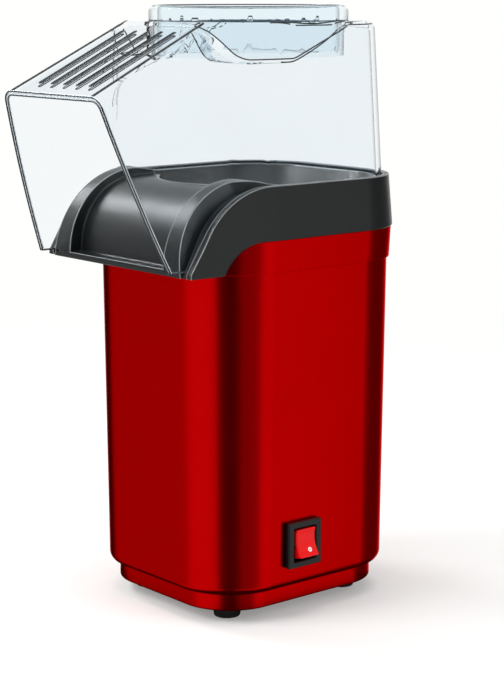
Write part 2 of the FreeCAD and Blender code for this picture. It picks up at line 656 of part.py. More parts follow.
def collar():
    level = mm(Z_COLLAR)
    rim = mm(Z_RIM)
    low = mm(Z_LEDGE)
    over = -mm("size.collar_overhang")
    top_inset = over + mm("size.collar_taper")
    outside = drafted(over, low, over, level).fuse(drafted(over, level, top_inset, rim))
    outside = outside.fuse(chute_block(over, low, over, level))
    outside = outside.fuse(chute_block(over, level, top_inset, rim))
    rim_solid = outside.common(under_rim(0)).common(above_apron())

    groove_inset = mm("size.cover_foot_inset - size.groove_clearance")
    groove_half = mm("size.hood_foot_half + size.groove_clearance")
    groove = drafted(groove_inset, low, groove_inset, rim + rim)
    groove = groove.fuse(Part.makeBox(2 * groove_half, 2 * mm("size.chute_reach"), rim + rim - low,
                                      Vector(-groove_half, -2 * mm("size.chute_reach"), low)))
    rim_solid = rim_solid.cut(groove.cut(under_rim(mm("size.groove_depth"))))

    inner = cover_form(mm("size.cover_wall + size.cover_clearance"), low - OVERRUN)
    inner = inner.common(under_rails()).common(above_apron())
    shape = rim_solid.fuse(inner)

    throat = mm(THROAT)
    funnel_inset = mm("size.cover_foot_inset + size.cover_wall + size.cover_clearance + size.funnel_land")
    mouth = outline_wire(funnel_inset, mm(Z_RIM))
    neck = Part.Wire(Part.makeCircle(throat, Vector(0, 0, level + mm("size.funnel_foot"))))
    funnel = Part.makeLoft([neck, mouth], True, True)
    front = -mm("size.funnel_front")
    funnel = limited(funnel, mm("size.body_width"), front, mm("size.body_depth"), level, rim)
    chamber_mouth = Part.makeCylinder(throat, rim, Vector(0, 0, low - OVERRUN))
    shape = shape.cut(funnel).cut(chamber_mouth).cut(trough_space()).cut(chute_hollow())

    neck_radius = throat + mm("size.neck_wall")
    under = Part.makeCylinder(neck_radius + mm("size.cover_clearance"), level - low + OVERRUN,
                              Vector(0, 0, low - OVERRUN))
    shape = shape.cut(under)
    skirt = over + mm("size.collar_skirt")
    pocket_space = drafted(skirt, level - OVERRUN, skirt, level + mm("size.collar_pocket"))
    pocket_space = pocket_space.cut(Part.makeCylinder(neck_radius, rim))
    pocket_space = limited(pocket_space, mm("size.body_width"), -mm("size.apron_start"),
                           mm("size.body_depth"), low, rim)
    shape = shape.cut(pocket_space)
    ear = mm("size.ear_circle") / 2 / math.sqrt(2)
    for sx, sy in ((1, 1), (1, -1), (-1, 1), (-1, -1)):
        spot = Vector(sx * ear, sy * ear, mm(Z_FLANGE))
        boss = Part.makeCylinder(mm("size.ear_diameter") / 2, level - spot.z + mm("size.collar_pocket"), spot)
        shape = shape.fuse(boss)
    for sx, sy in ((1, 1), (1, -1), (-1, 1), (-1, -1)):
        spot = Vector(sx * ear, sy * ear, mm(Z_FLANGE))
        shape = shape.cut(Part.makeCylinder(mm(SCREW_HOLE), mm("size.screw_bite"), spot))
    return shaped("collar", shape.removeSplitter())


def hood_section(y, inset, low):
    """The hood's cross-section: level roof, leaning walls, rounded upper edges."""
    slope = mm("size.hood_drop / (size.hood_reach - size.hood_roof_start)")
    deck = mm(Z_DECK)
    roof_start = mm("size.hood_roof_start")
    roof = deck + slope * (y + roof_start) - inset * math.sqrt(1 + slope ** 2)
    lean, flare = hood_wall()
    steep = math.sqrt(1 + lean ** 2)

    def wall_x(z):
        back = mm("size.hood_back_half") - lean * (z - deck) + flare * (y + roof_start)
        return back - inset * steep

    radius = mm("size.hood_edge_round") - inset
    angle = math.atan(lean)
    tangent = radius * math.tan((math.pi / 2 - angle) / 2)
    corner_x = wall_x(roof)
    flat_end = corner_x - tangent
    wall_end_x = corner_x + tangent * math.sin(angle)
    wall_end_z = roof - tangent * math.cos(angle)
    bisector = (math.pi / 2 + angle) / 2
    crown_x = flat_end + radius * math.cos(bisector)
    crown_z = roof - radius + radius * math.sin(bisector)

    def spot(side, x, z):
        return Vector(side * x, y, z)

    edges = [Part.makeLine(spot(-1, wall_x(low), low), spot(1, wall_x(low), low)),
             Part.makeLine(spot(1, wall_x(low), low), spot(1, wall_end_x, wall_end_z)),
             Part.Arc(spot(1, wall_end_x, wall_end_z), spot(1, crown_x, crown_z),
                      spot(1, flat_end, roof)).toShape(),
             Part.makeLine(spot(1, flat_end, roof), spot(-1, flat_end, roof)),
             Part.Arc(spot(-1, flat_end, roof), spot(-1, crown_x, crown_z),
                      spot(-1, wall_end_x, wall_end_z)).toShape(),
             Part.makeLine(spot(-1, wall_end_x, wall_end_z), spot(-1, wall_x(low), low))]
    return Part.Wire(edges)


def hood_wall():
    """How much the hood's walls lean in with height and spread towards the back."""
    lip = mm(Z_LIP)
    deck = mm(Z_DECK)
    roof_start = mm("size.hood_roof_start")
    head_drop = mm("size.hood_drop")
    head_run = mm("size.hood_reach") - roof_start
    foot_run = mm("size.mouth_foot_reach") - roof_start
    head_step = mm("size.hood_head_half - size.hood_back_half")
    foot_step = mm("size.hood_foot_half - size.hood_back_half")
    lean = (foot_step * head_run - head_step * foot_run) / ((deck - lip) * head_run - head_drop * foot_run)
    flare = (lean * head_drop - head_step) / head_run
    return lean, flare


def cover_form(inset, low):
    """The cover as a full form: the drafted tower and the hood, drawn in by a wall where asked."""
    deck = mm(Z_DECK)
    rim = mm(f"{Z_RIM} - size.groove_depth")
    foot = mm("size.cover_foot_inset")
    head = mm("size.cover_top_inset")
    taper = (head - foot) / (deck - rim)
    top = deck - inset
    tower = drafted(foot + inset - taper * (rim - low), low, head + inset - taper * inset, top)
    rounded = [edge for edge in tower.Edges if edge.BoundBox.ZMin > top - CLOSE]
    tower = tower.makeFillet(mm("size.cover_edge_round") - inset / 2, rounded)
    back = -mm("size.body_depth") / 4
    hood = Part.makeLoft([hood_section(-mm("size.hood_reach") - HOOD_SPARE, inset, low),
                          hood_section(back, inset, low)], True, True)
    width = mm("size.body_width")
    hood = limited(hood, width, -2 * width, width, low, top)
    return tower.fuse(hood)


def recess_space(inset):
    """The finger recess at each side of the cup: outside the cup's socket, over a sloped-ended floor."""
    deck = mm(Z_DECK)
    low = deck - mm("size.recess_depth") - inset
    high = deck + mm("size.cup_rise")
    front_top = -mm("size.recess_front_top") - inset
    rear_top = mm("size.recess_rear_top") + inset
    front_low = -mm("size.recess_front_low") - inset
    rear_low = -mm("size.recess_rear_low") + inset
    points = [place(front_top, high), place(front_top, deck), place(front_low, low), place(rear_low, low),
              place(rear_top, deck), place(rear_top, high)]
    shape = side_slab(chain(points + points[:1]))
    floor_corners = [edge for edge in shape.Edges
                     if abs(edge.BoundBox.ZMax - low) < CLOSE and edge.BoundBox.YLength < CLOSE]
    shape = shape.makeFillet(mm("size.recess_round") + inset, floor_corners)
    socket = mm("size.cup_diameter / 2 + size.cup_clearance + size.cover_wall") - inset
    shape = shape.cut(Part.makeCylinder(socket, high, Vector(0, mm("size.cup_offset"), 0)))
    start = mm("size.recess_start") - inset
    middle = Part.makeBox(2 * start, 4 * mm("size.body_depth"), high,
                          Vector(-start, -2 * mm("size.body_depth"), 0))
    return shape.cut(middle)


def mouth_space():
    """All that lies in front of the hood's slanting mouth."""
    reach = mm("size.hood_reach")
    head = place(-reach, mm(f"{Z_DECK} - size.hood_drop"))
    foot = place(-mm("size.mouth_foot_reach"), mm(Z_LEDGE))
    along = (foot - head).normalize()
    outward = Vector(0, along.z, -along.y)
    above = head - along * mm("size.hood_edge_round")
    middle = (above + foot) / 2 + outward * mm("size.mouth_bulge")
    curve = Part.Arc(above, middle, foot).toShape()
    front = -2 * reach
    floor = mm(Z_SHELL)
    rest = [foot, place(foot.y, floor), place(front, floor), place(front, above.z), above]
    return side_slab([curve] + chain(rest))


def cover():
    low = mm(Z_LIP)
    wall = mm("size.cover_wall")
    outside = cover_form(0, low).cut(recess_space(0))
    inside = cover_form(wall, low - OVERRUN).cut(recess_space(wall))
    shape = outside.cut(inside)
    depth = mm("size.groove_depth")
    width = mm("size.body_width")
    bend = -mm("size.rim_bend_start") - mm("size.cover_edge_round")
    foot = limited(under_rim(depth), width, bend, 2 * width, 0, mm(Z_TOP))
    nose = limited(under_rim(depth - mm("size.cover_foot_gap")), width, -4 * width, bend, 0, mm(Z_TOP))
    shape = shape.cut(foot).cut(nose).cut(mouth_space())
    hole = mm("size.cup_diameter / 2 + size.cup_clearance")
    socket_low = mm(f"{Z_DECK} - size.recess_depth") - 2 * wall
    shape = shape.cut(Part.makeCylinder(hole, mm(Z_TOP), Vector(0, mm("size.cup_offset"), socket_low)))
    slit = mm("size.vent_width")
    length = mm("size.vent_front - size.vent_rear")
    count = round(mm("size.vent_count"))
    roof = mm(f"{Z_DECK} - size.hood_drop - size.hood_edge_round")
    for number in range(count):
        x = (number - (count - 1) / 2) * mm("size.vent_pitch")
        front = -mm("size.vent_front") + slit / 2
        high = mm("size.hood_drop") * 2
        shape = shape.cut(Part.makeBox(slit, length - slit, high, Vector(x - slit / 2, front, roof)))
        for end in (front, front + length - slit):
            shape = shape.cut(Part.makeCylinder(slit / 2, high, Vector(x, end, roof)))
    return shaped("cover", shape.removeSplitter())


def measuring_cup():
    owner = new_body("measuring_cup")
    inner = "(size.cup_diameter / 2 - size.cup_wall)"
    outer = "(size.cup_diameter / 2)"
    rim = "(size.cup_rim_diameter / 2)"
    bottom = f"({Z_DECK} - size.cup_depth)"
    round_off = "size.cup_rim_round"
    points = [("0", bottom), (outer, bottom), (outer, Z_DECK), (rim, Z_DECK),
              (rim, f"{Z_TOP} - {round_off}"), (f"{rim} - {round_off}", Z_TOP), (inner, Z_TOP),
              (inner, f"{bottom} + size.cup_floor"), ("0", f"{bottom} + size.cup_floor")]
    revolve(owner, points, arcs={4: round_off})
    owner.setExpression("Placement.Base.y", f"{AXIS_Y} + size.cup_offset")
    return owner


# Popping chamber, heater and their fixings

def popping_chamber():
    owner = new_body("popping_chamber")
    inner = "(size.chamber_diameter / 2)"
    outer = f"({inner} + size.chamber_wall)"
    flange = "size.chamber_flange_diameter / 2"
    floor = f"({Z_SEAL} - size.chamber_depth)"
    under = f"({floor} - size.chamber_wall)"
    points = [("0", f"{floor} + size.chamber_cone"), ("0", f"{under} + size.chamber_cone"), (outer, under),
              (outer, Z_FLANGE), (flange, Z_FLANGE), (flange, Z_SEAL), (inner, Z_SEAL), (inner, floor)]
    revolve(owner, points)
    low = f"({floor} + size.louvre_lift)"
    half = "size.louvre_width / 2"
    slot = [(f"-{half}", low), (half, low), (half, f"{low} + size.louvre_height"),
            (f"-{half}", f"{low} + size.louvre_height")]
    louvre = pocket(owner, profile(owner, slot, "XZ_Plane"), outer)
    repeat_round(owner, louvre, "size.louvre_count")
    return owner


def chamber_seal():
    ring = cylinder("size.chamber_flange_diameter / 2", "size.seal_thickness", ("0", "0", Z_SEAL))
    bore = cylinder(THROAT, "size.seal_thickness", ("0", "0", Z_SEAL))
    return node("chamber_seal", [cut(ring, bore)])


def heater_tube():
    owner = new_body("heater_tube")
    inner = "size.tube_diameter / 2"
    flange = "size.chamber_flange_diameter / 2"
    points = [(inner, "size.tube_bottom"), (TUBE_OUT, "size.tube_bottom"),
              (TUBE_OUT, f"{Z_FLANGE} - size.tube_flange"), (flange, f"{Z_FLANGE} - size.tube_flange"),
              (flange, Z_FLANGE), (inner, Z_FLANGE)]
    revolve(owner, points)
    for x, y in EAR_PLACES:
        half = "(size.ear_diameter / 2 / sqrt(2))"
        sx = "1" if mm(x) > 0 else "-1"
        sy = "1" if mm(y) > 0 else "-1"
        near_x = f"({sx} * {TUBE_OUT} / sqrt(2))"
        near_y = f"({sy} * {TUBE_OUT} / sqrt(2))"
        arm = [(f"{near_x} - {sx} * {half}", f"{near_y} + {sy} * {half}"),
               (f"{x} - {sx} * {half}", f"{y} + {sy} * {half}"),
               (f"{x} + {sx} * {half}", f"{y} - {sy} * {half}"),
               (f"{near_x} + {sx} * {half}", f"{near_y} - {sy} * {half}")]
        pad(owner, profile(owner, arm, offset=Z_FLANGE), "size.tube_flange", reverse=True)
    pad(owner, circle_sketch(owner, EAR_PLACES, "size.ear_diameter / 2", offset=Z_FLANGE),
        "size.tube_flange", reverse=True)
    pocket(owner, circle_sketch(owner, EAR_PLACES, SCREW_HOLE, offset=Z_FLANGE), "size.tube_flange")
    near = f"({TUBE_OUT} - size.tube_wall / 2)"
    half = "size.pad_width / 2"
    for side in ("1", "-1"):
        start = f"{side} * sqrt({near} ^ 2 - ({half}) ^ 2)"
        seat = [(f"-{half}", start), (half, start), (half, f"{side} * size.pad_reach"),
                (f"-{half}", f"{side} * size.pad_reach")]
        pad(owner, profile(owner, seat, offset="size.pad_low"), "size.pad_height")
    return owner


def tube_screws():
    pieces = []
    under = f"({Z_FLANGE} - size.tube_flange)"
    for x, y in EAR_PLACES:
        head = cylinder("size.screw_head_diameter / 2", "size.screw_head_height",
                        (x, y, f"{under} - size.screw_head_height"))
        shank = cylinder("size.screw_diameter / 2", "size.tube_flange + size.screw_bite", (x, y, under))
        pieces.append(fused(head, shank))
    return node("tube_screws", pieces)


def heater_board(label, plane, slot_from_top):
    """One of two crossed boards: wide feet on the tube's wall, and a half-lap slot at the middle."""
    owner = new_body(label)
    wide = "(size.tube_diameter / 2 - size.board_clearance)"
    step = "(size.board_low + size.board_foot_height)"
    top = "(size.board_low + size.board_height)"
    narrow = "size.board_half"
    points = [(f"-{wide}", "size.board_low"), (wide, "size.board_low"), (wide, step), (narrow, step),
              (narrow, top), (f"-{narrow}", top), (f"-{narrow}", step), (f"-{wide}", step)]
    board = pad(owner, profile(owner, points, plane), "size.board_thickness")
    board.Midplane = True
    half = "(size.board_thickness / 2 + size.board_clearance)"
    middle = "(size.board_low + size.board_height / 2)"
    low, high = (middle, top) if slot_from_top else ("size.board_low", middle)
    slot = [(f"-{half}", low), (half, low), (half, high), (f"-{half}", high)]
    doc.recompute()
    lap = owner.newObject("PartDesign::Pocket", "half_lap")
    lap.Profile = profile(owner, slot, plane)
    lap.Midplane = True
    lap.setExpression("Length", "4 * size.board_thickness")
    return owner


def heating_element():
    pieces = []
    wire = "size.element_wire / 2"
    around = f"(size.board_half + size.element_gap + {wire})"
    for number in range(round(mm("size.element_turns"))):
        height = f"size.board_low + size.element_start + {number} * size.element_pitch"
        turn = solid("Torus", {"Radius1": around, "Radius2": wire, "Angle3": "size.element_angle"},
                     ("0", "0", height))
        pieces.append(turn)
    return node("heating_element", pieces)


def thermostat():
    side = (Vector(1, 0, 0), -90)
    height = "(size.pad_low + size.pad_height / 2)"
    case = cylinder("size.thermostat_diameter / 2", "size.thermostat_depth",
                    ("0", "size.pad_reach", height), side)
    cap = cylinder("size.thermostat_diameter / 4", "size.thermostat_depth + size.thermostat_cap",
                   ("0", "size.pad_reach", height), side)
    tabs = block("size.thermostat_diameter + 2 * size.thermostat_tab", "size.tab_thickness", "size.tab_width",
                 ("0", "size.pad_reach + size.thermostat_depth / 2", f"{height} - size.tab_width / 2"))
    return node("thermostat", [fused(case, cap, tabs)])


def thermal_fuse():
    sideways = (Vector(0, 1, 0), 90)
    y = "-(size.pad_reach + size.fuse_diameter / 2)"
    height = "(size.pad_low + size.pad_height / 2)"
    case = cylinder("size.fuse_diameter / 2", "size.fuse_length",
                    ("-size.fuse_length / 2", y, height), sideways)
    lead = cylinder("size.fuse_lead / 2", "2 * size.fuse_length", ("-size.fuse_length", y, height), sideways)
    return node("thermal_fuse", [fused(case, lead)])


# Motor, fan and rectifier

MOTOR_SCREWS = [("-size.motor_screw_circle / 2", "0"), ("size.motor_screw_circle / 2", "0")]


def motor_bracket():
    owner = new_body("motor_bracket")
    pad(owner, circle_sketch(owner, [("0", "0")], TUBE_OUT, offset=MOTOR_TOP), "size.bracket_plate")
    near = "size.bracket_window_in"
    far = "size.bracket_window_out"
    sweep = "size.bracket_window_angle * 1 deg"
    window = [(f"{near} * cos({sweep})", f"-{near} * sin({sweep})"), (f"{far} * cos({sweep})",
              f"-{far} * sin({sweep})"), (f"{far} * cos({sweep})", f"{far} * sin({sweep})"),
              (f"{near} * cos({sweep})", f"{near} * sin({sweep})")]
    opening = pocket(owner, profile(owner, window, offset="size.tube_bottom"), "size.bracket_plate")
    repeat_round(owner, opening, "size.bracket_windows")
    pocket(owner, circle_sketch(owner, [("0", "0")], "size.bush_diameter / 2 + size.board_clearance",
                                offset="size.tube_bottom"), "size.bracket_plate")
    pocket(owner, circle_sketch(owner, MOTOR_SCREWS, "size.motor_screw_diameter / 2 + size.screw_clearance",
                                offset="size.tube_bottom"), "size.bracket_plate")
    return owner


def motor_can():
    owner = new_body("motor_can")
    outer = "(size.motor_diameter / 2)"
    inner = f"({outer} - size.motor_wall)"
    bush = "(size.bush_diameter / 2)"
    points = [(inner, MOTOR_LOW), (outer, MOTOR_LOW), (outer, MOTOR_TOP), (bush, MOTOR_TOP),
              (bush, f"{MOTOR_TOP} - size.motor_wall"), (inner, f"{MOTOR_TOP} - size.motor_wall")]
    revolve(owner, points)
    pocket(owner, circle_sketch(owner, MOTOR_SCREWS, "size.motor_screw_diameter / 2 + size.screw_clearance",
                                offset=MOTOR_TOP), "size.motor_wall")
    return owner


def motor_end_cap():
    owner = new_body("motor_end_cap")
    outer = "size.motor_diameter / 2"
    bush = "size.bush_diameter / 2"
    points = [("0", CAP_LOW), (outer, CAP_LOW), (outer, MOTOR_LOW), (bush, MOTOR_LOW),
              (bush, f"{MOTOR_LOW} - size.motor_cap / 2"), ("0", f"{MOTOR_LOW} - size.motor_cap / 2")]
    revolve(owner, points)
    return owner


def bush(label, low):
    body = cylinder("size.bush_diameter / 2", "size.bush_length", ("0", "0", low))
    bore = cylinder("size.shaft_diameter / 2 + size.bearing_clearance", "size.bush_length", ("0", "0", low))
    return node(label, [cut(body, bore)])


def motor_magnets():
    pieces = []
    outer = "(size.motor_diameter / 2 - size.motor_wall)"
    length = "(size.motor_length - 4 * size.motor_wall)"
    low = f"{MOTOR_LOW} + size.motor_wall"
    for start in (0, 180):
        begin = (Vector(0, 0, 1), start - mm("size.magnet_angle") / 2)
        sizes = {"Radius": outer, "Height": length, "Angle": "size.magnet_angle"}
        wedge = solid("Cylinder", sizes, ("0", "0", low), begin)
        core = cylinder(f"{outer} - size.magnet_thickness", length, ("0", "0", low))
        pieces.append(cut(wedge, core))
    return node("motor_magnets", pieces)


def motor_screws():
    pieces = []
    for x, y in MOTOR_SCREWS:
        shank = cylinder("size.motor_screw_diameter / 2", "size.bracket_plate + size.motor_wall",
                         (x, y, f"{MOTOR_TOP} - size.motor_wall"))
        head = cylinder("size.motor_screw_head / 2", "size.motor_wall", (x, y, "size.tube_bottom"))
        pieces.append(fused(shank, head))
    return node("motor_screws", pieces)


def rectifier_board():
    board = block("size.rectifier_width", "size.rectifier_depth", "size.rectifier_board",
                  ("0", "0", f"{CAP_LOW} - size.rectifier_board"))
    return node("rectifier_board", [board])


def diodes():
    pieces = []
    sideways = (Vector(1, 0, 0), -90)
    height = f"{CAP_LOW} - size.rectifier_board - size.diode_diameter / 2"
    for number in (-1.5, -0.5, 0.5, 1.5):
        x = f"{number} * size.diode_pitch"
        pieces.append(cylinder("size.diode_diameter / 2", "size.diode_length",
                               (x, "-size.diode_length / 2", height), sideways))
    return node("diodes", pieces)


def motor_shaft():
    low = f"({MOTOR_LOW} - size.motor_cap / 2 + size.bearing_clearance)"
    return node("motor_shaft", [cylinder("size.shaft_diameter / 2", f"size.shaft_top - {low}",
                                         ("0", "0", low))])


def armature():
    owner = new_body("armature")
    middle = f"({MOTOR_LOW} + size.motor_length / 2 - size.armature_height / 2)"
    pad(owner, circle_sketch(owner, [("0", "0")], "size.armature_diameter / 2", offset=middle),
        "size.armature_height")
    half = "size.armature_slot / 2"
    near = "size.armature_diameter / 4"
    far = "size.armature_diameter"
    slot = [(near, f"-{half}"), (far, f"-{half}"), (far, half), (near, half)]
    groove = pocket(owner, profile(owner, slot, offset=f"{middle} + size.armature_height"),
                    "size.armature_height")
    repeat_round(owner, groove, "3")
    pocket(owner, circle_sketch(owner, [("0", "0")], "size.shaft_diameter / 2",
                                offset=f"{middle} + size.armature_height"), "size.armature_height")
    return owner


def fan():
    hub_radius = mm("size.fan_hub_diameter") / 2
    low = mm("size.fan_low")
    height = mm("size.fan_height")
    thick = mm("size.fan_blade_thickness")
    shape = Part.makeCylinder(hub_radius, height, Vector(0, 0, low))

    def section(radius, chord):
        rise = height - thick
        corners = [Vector(radius, -chord / 2, low), Vector(radius, -chord / 2 + thick, low),
                   Vector(radius, chord / 2, low + rise), Vector(radius, chord / 2, low + rise + thick),
                   Vector(radius, chord / 2 - thick, low + rise + thick),
                   Vector(radius, -chord / 2, low + thick)]
        return Part.makePolygon(corners + corners[:1])

    root = section(hub_radius / 2, mm("size.fan_root_chord"))
    tip = section(mm("size.fan_diameter") / 2, mm("size.fan_tip_chord"))
    blade = Part.makeLoft([root, tip], True, True)
    blade = blade.common(Part.makeCylinder(mm("size.fan_diameter") / 2, height, Vector(0, 0, low)))
    count = round(mm("size.fan_blades"))
    for number in range(count):
        turned = blade.copy()
        turned.rotate(Vector(0, 0, 0), Vector(0, 0, 1), 360 * number / count)
        shape = shape.fuse(turned)
    shape = shape.cut(Part.makeCylinder(mm("size.shaft_diameter") / 2, 2 * height,
                                        Vector(0, 0, low - height / 2)))
    return shaped("fan", shape.removeSplitter())


# Rocker switch and cord gland

WALL_X = (f"(size.body_width / 2 - {SHELL_LOW} + size.shell_taper * (size.switch_z - {Z_SHELL})"
          " / size.shell_height)")
FACE_X = f"({WALL_X} + size.bezel_proud)"
PIN_X = f"({FACE_X} - size.rocker_pin_back)"
# The bezel stands clear of the wall, which leans out towards its top
SWITCH_LIFT = "(size.shell_taper / size.shell_height * size.bezel_height)"


def switch_frame():
    centre = ("size.switch_y", "size.switch_z")
    plate = block("size.bezel_proud", "size.bezel_width", "size.bezel_height",
                  (f"{WALL_X} + {SWITCH_LIFT} + size.bezel_proud / 2", centre[0],
                   f"{centre[1]} - size.bezel_height / 2"))
    case = block("size.switch_body_depth", "size.switch_body_width", "size.switch_body_height",
                 (f"{WALL_X} + {SWITCH_LIFT} - size.switch_body_depth / 2 + size.bezel_proud / 2", centre[0],
                  f"{centre[1]} - size.switch_body_height / 2"))
    well = block("2 * size.well_depth", "size.rocker_width + 2 * size.rocker_gap",
                 "size.rocker_height + 2 * size.rocker_gap",
                 (FACE_X, centre[0], f"{centre[1]} - size.rocker_height / 2 - size.rocker_gap"))
    pin = cylinder("size.rocker_pin_diameter / 2 + size.pin_seat_clearance", "size.switch_body_width",
                   (PIN_X, f"{centre[0]} - size.switch_body_width / 2", centre[1]), (Vector(1, 0, 0), -90))
    return node("switch_frame", [cut(fused(plate, case), fused(well, pin))])


def switch_tabs():
    pieces = []
    back = f"({WALL_X} + size.bezel_proud / 2 - size.switch_body_depth)"
    for side in ("1", "-1"):
        pieces.append(block("size.tab_length", "size.tab_width", "size.tab_thickness",
                            (f"{back} + {SWITCH_LIFT} - size.tab_length / 2", "size.switch_y",
                             f"size.switch_z + {side} * size.tab_pitch / 2")))
    return node("switch_tabs", pieces)


def rocker_pin():
    pin = cylinder("size.rocker_pin_diameter / 2", "size.switch_body_width",
                   (PIN_X, "size.switch_y - size.switch_body_width / 2", "size.switch_z"),
                   (Vector(1, 0, 0), -90))
    return node("rocker_pin", [pin])


def rocker():
    """A dished key on a cross pin, at rest with its lower half tipped out."""
    half = mm("size.rocker_height") / 2
    width = mm("size.rocker_width")
    back = mm("size.rocker_pin_back")
    depth = mm("size.rocker_depth")
    tilt = mm("size.rocker_tilt")
    crest = back + mm("size.rocker_proud + size.rocker_crest")
    dish = back + mm("size.rocker_proud - size.rocker_dish")
    edge = half - mm("size.rocker_edge")
    heel = mm("size.rocker_heel") / 2
    spots = [Vector(crest, 0, edge), Vector(dish, 0, 0), Vector(crest, 0, -edge)]
    face = Part.Arc(*spots).toShape()
    low = Vector(-depth + back, 0, -heel)
    high = Vector(-depth + back, 0, heel)
    outline = Part.Wire([face] + chain([spots[2], Vector(0, 0, -edge), low, high,
                                        Vector(0, 0, edge), spots[0]]))
    key = Part.Face(outline).extrude(Vector(0, width, 0))
    key.translate(Vector(0, -width / 2, 0))
    bore = mm("size.rocker_pin_diameter / 2 + size.pin_clearance")
    key = key.cut(Part.makeCylinder(bore, 2 * width, Vector(0, -width, 0), Vector(0, 1, 0)))
    key.rotate(Vector(0, 0, 0), Vector(0, 1, 0), -tilt)
    key.translate(Vector(mm(PIN_X), mm("size.switch_y"), mm("size.switch_z")))
    return shaped("rocker", key)


def cord_gland():
    depth = (f"(size.body_depth / 2 - {SHELL_LOW} + size.shell_taper * (size.gland_z - {Z_SHELL})"
             " / size.shell_height)")
    back = (Vector(1, 0, 0), -90)
    seat = f"({depth} + size.gland_gap)"
    sleeve_start = f"({depth} - size.shell_wall - size.gland_inner_depth)"
    flange = cylinder("size.gland_flange / 2", "size.gland_flange_depth", ("0", seat, "size.gland_z"), back)
    sleeve = cylinder("size.gland_body / 2", f"{seat} - {sleeve_start} + size.gland_flange_depth / 2",
                      ("0", sleeve_start, "size.gland_z"), back)
    bore = cylinder("size.gland_bore / 2", "size.body_depth", ("0", "0", "size.gland_z"), back)
    return node("cord_gland", [cut(fused(flange, sleeve), bore)])


SUB_PARTS = [outer_shell(), shoulder_ring(), base_plate(), feet(), base_screws(), collar(), cover(),
             measuring_cup(), popping_chamber(), chamber_seal(), heater_tube(), tube_screws(),
             heater_board("heater_board_across", "XZ_Plane", True),
             heater_board("heater_board_along", "YZ_Plane", False), heating_element(), thermostat(),
             thermal_fuse(), motor_bracket(), motor_can(), motor_end_cap(),
             bush("upper_bush", f"{MOTOR_TOP} - size.bush_length + size.bracket_plate"),
             bush("lower_bush", f"{MOTOR_LOW} - size.motor_cap / 2"), motor_magnets(), motor_screws(),
             rectifier_board(), diodes(), motor_shaft(), armature(), fan(), switch_frame(), switch_tabs(),
             rocker_pin(), rocker(), cord_gland()]
doc.recompute()

faults = [item.Name for item in doc.Objects if {"Invalid", "Error"} & set(item.State)]
for part in SUB_PARTS:
    if part.Shape.isNull() or not part.Shape.isValid() or not part.Shape.Solids:
        faults.append(part.Label)
if faults:
    raise RuntimeError("these did not build: " + ", ".join(faults))

os.makedirs("parts", exist_ok=True)
for part in SUB_PARTS:
    part.Shape.exportStep(f"parts/{part.Label}.step")
    print(part.Label, len(part.Shape.Solids), round(part.Shape.Volume))
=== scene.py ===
import math
import bpy
import bmesh
from mathutils import Matrix, Vector


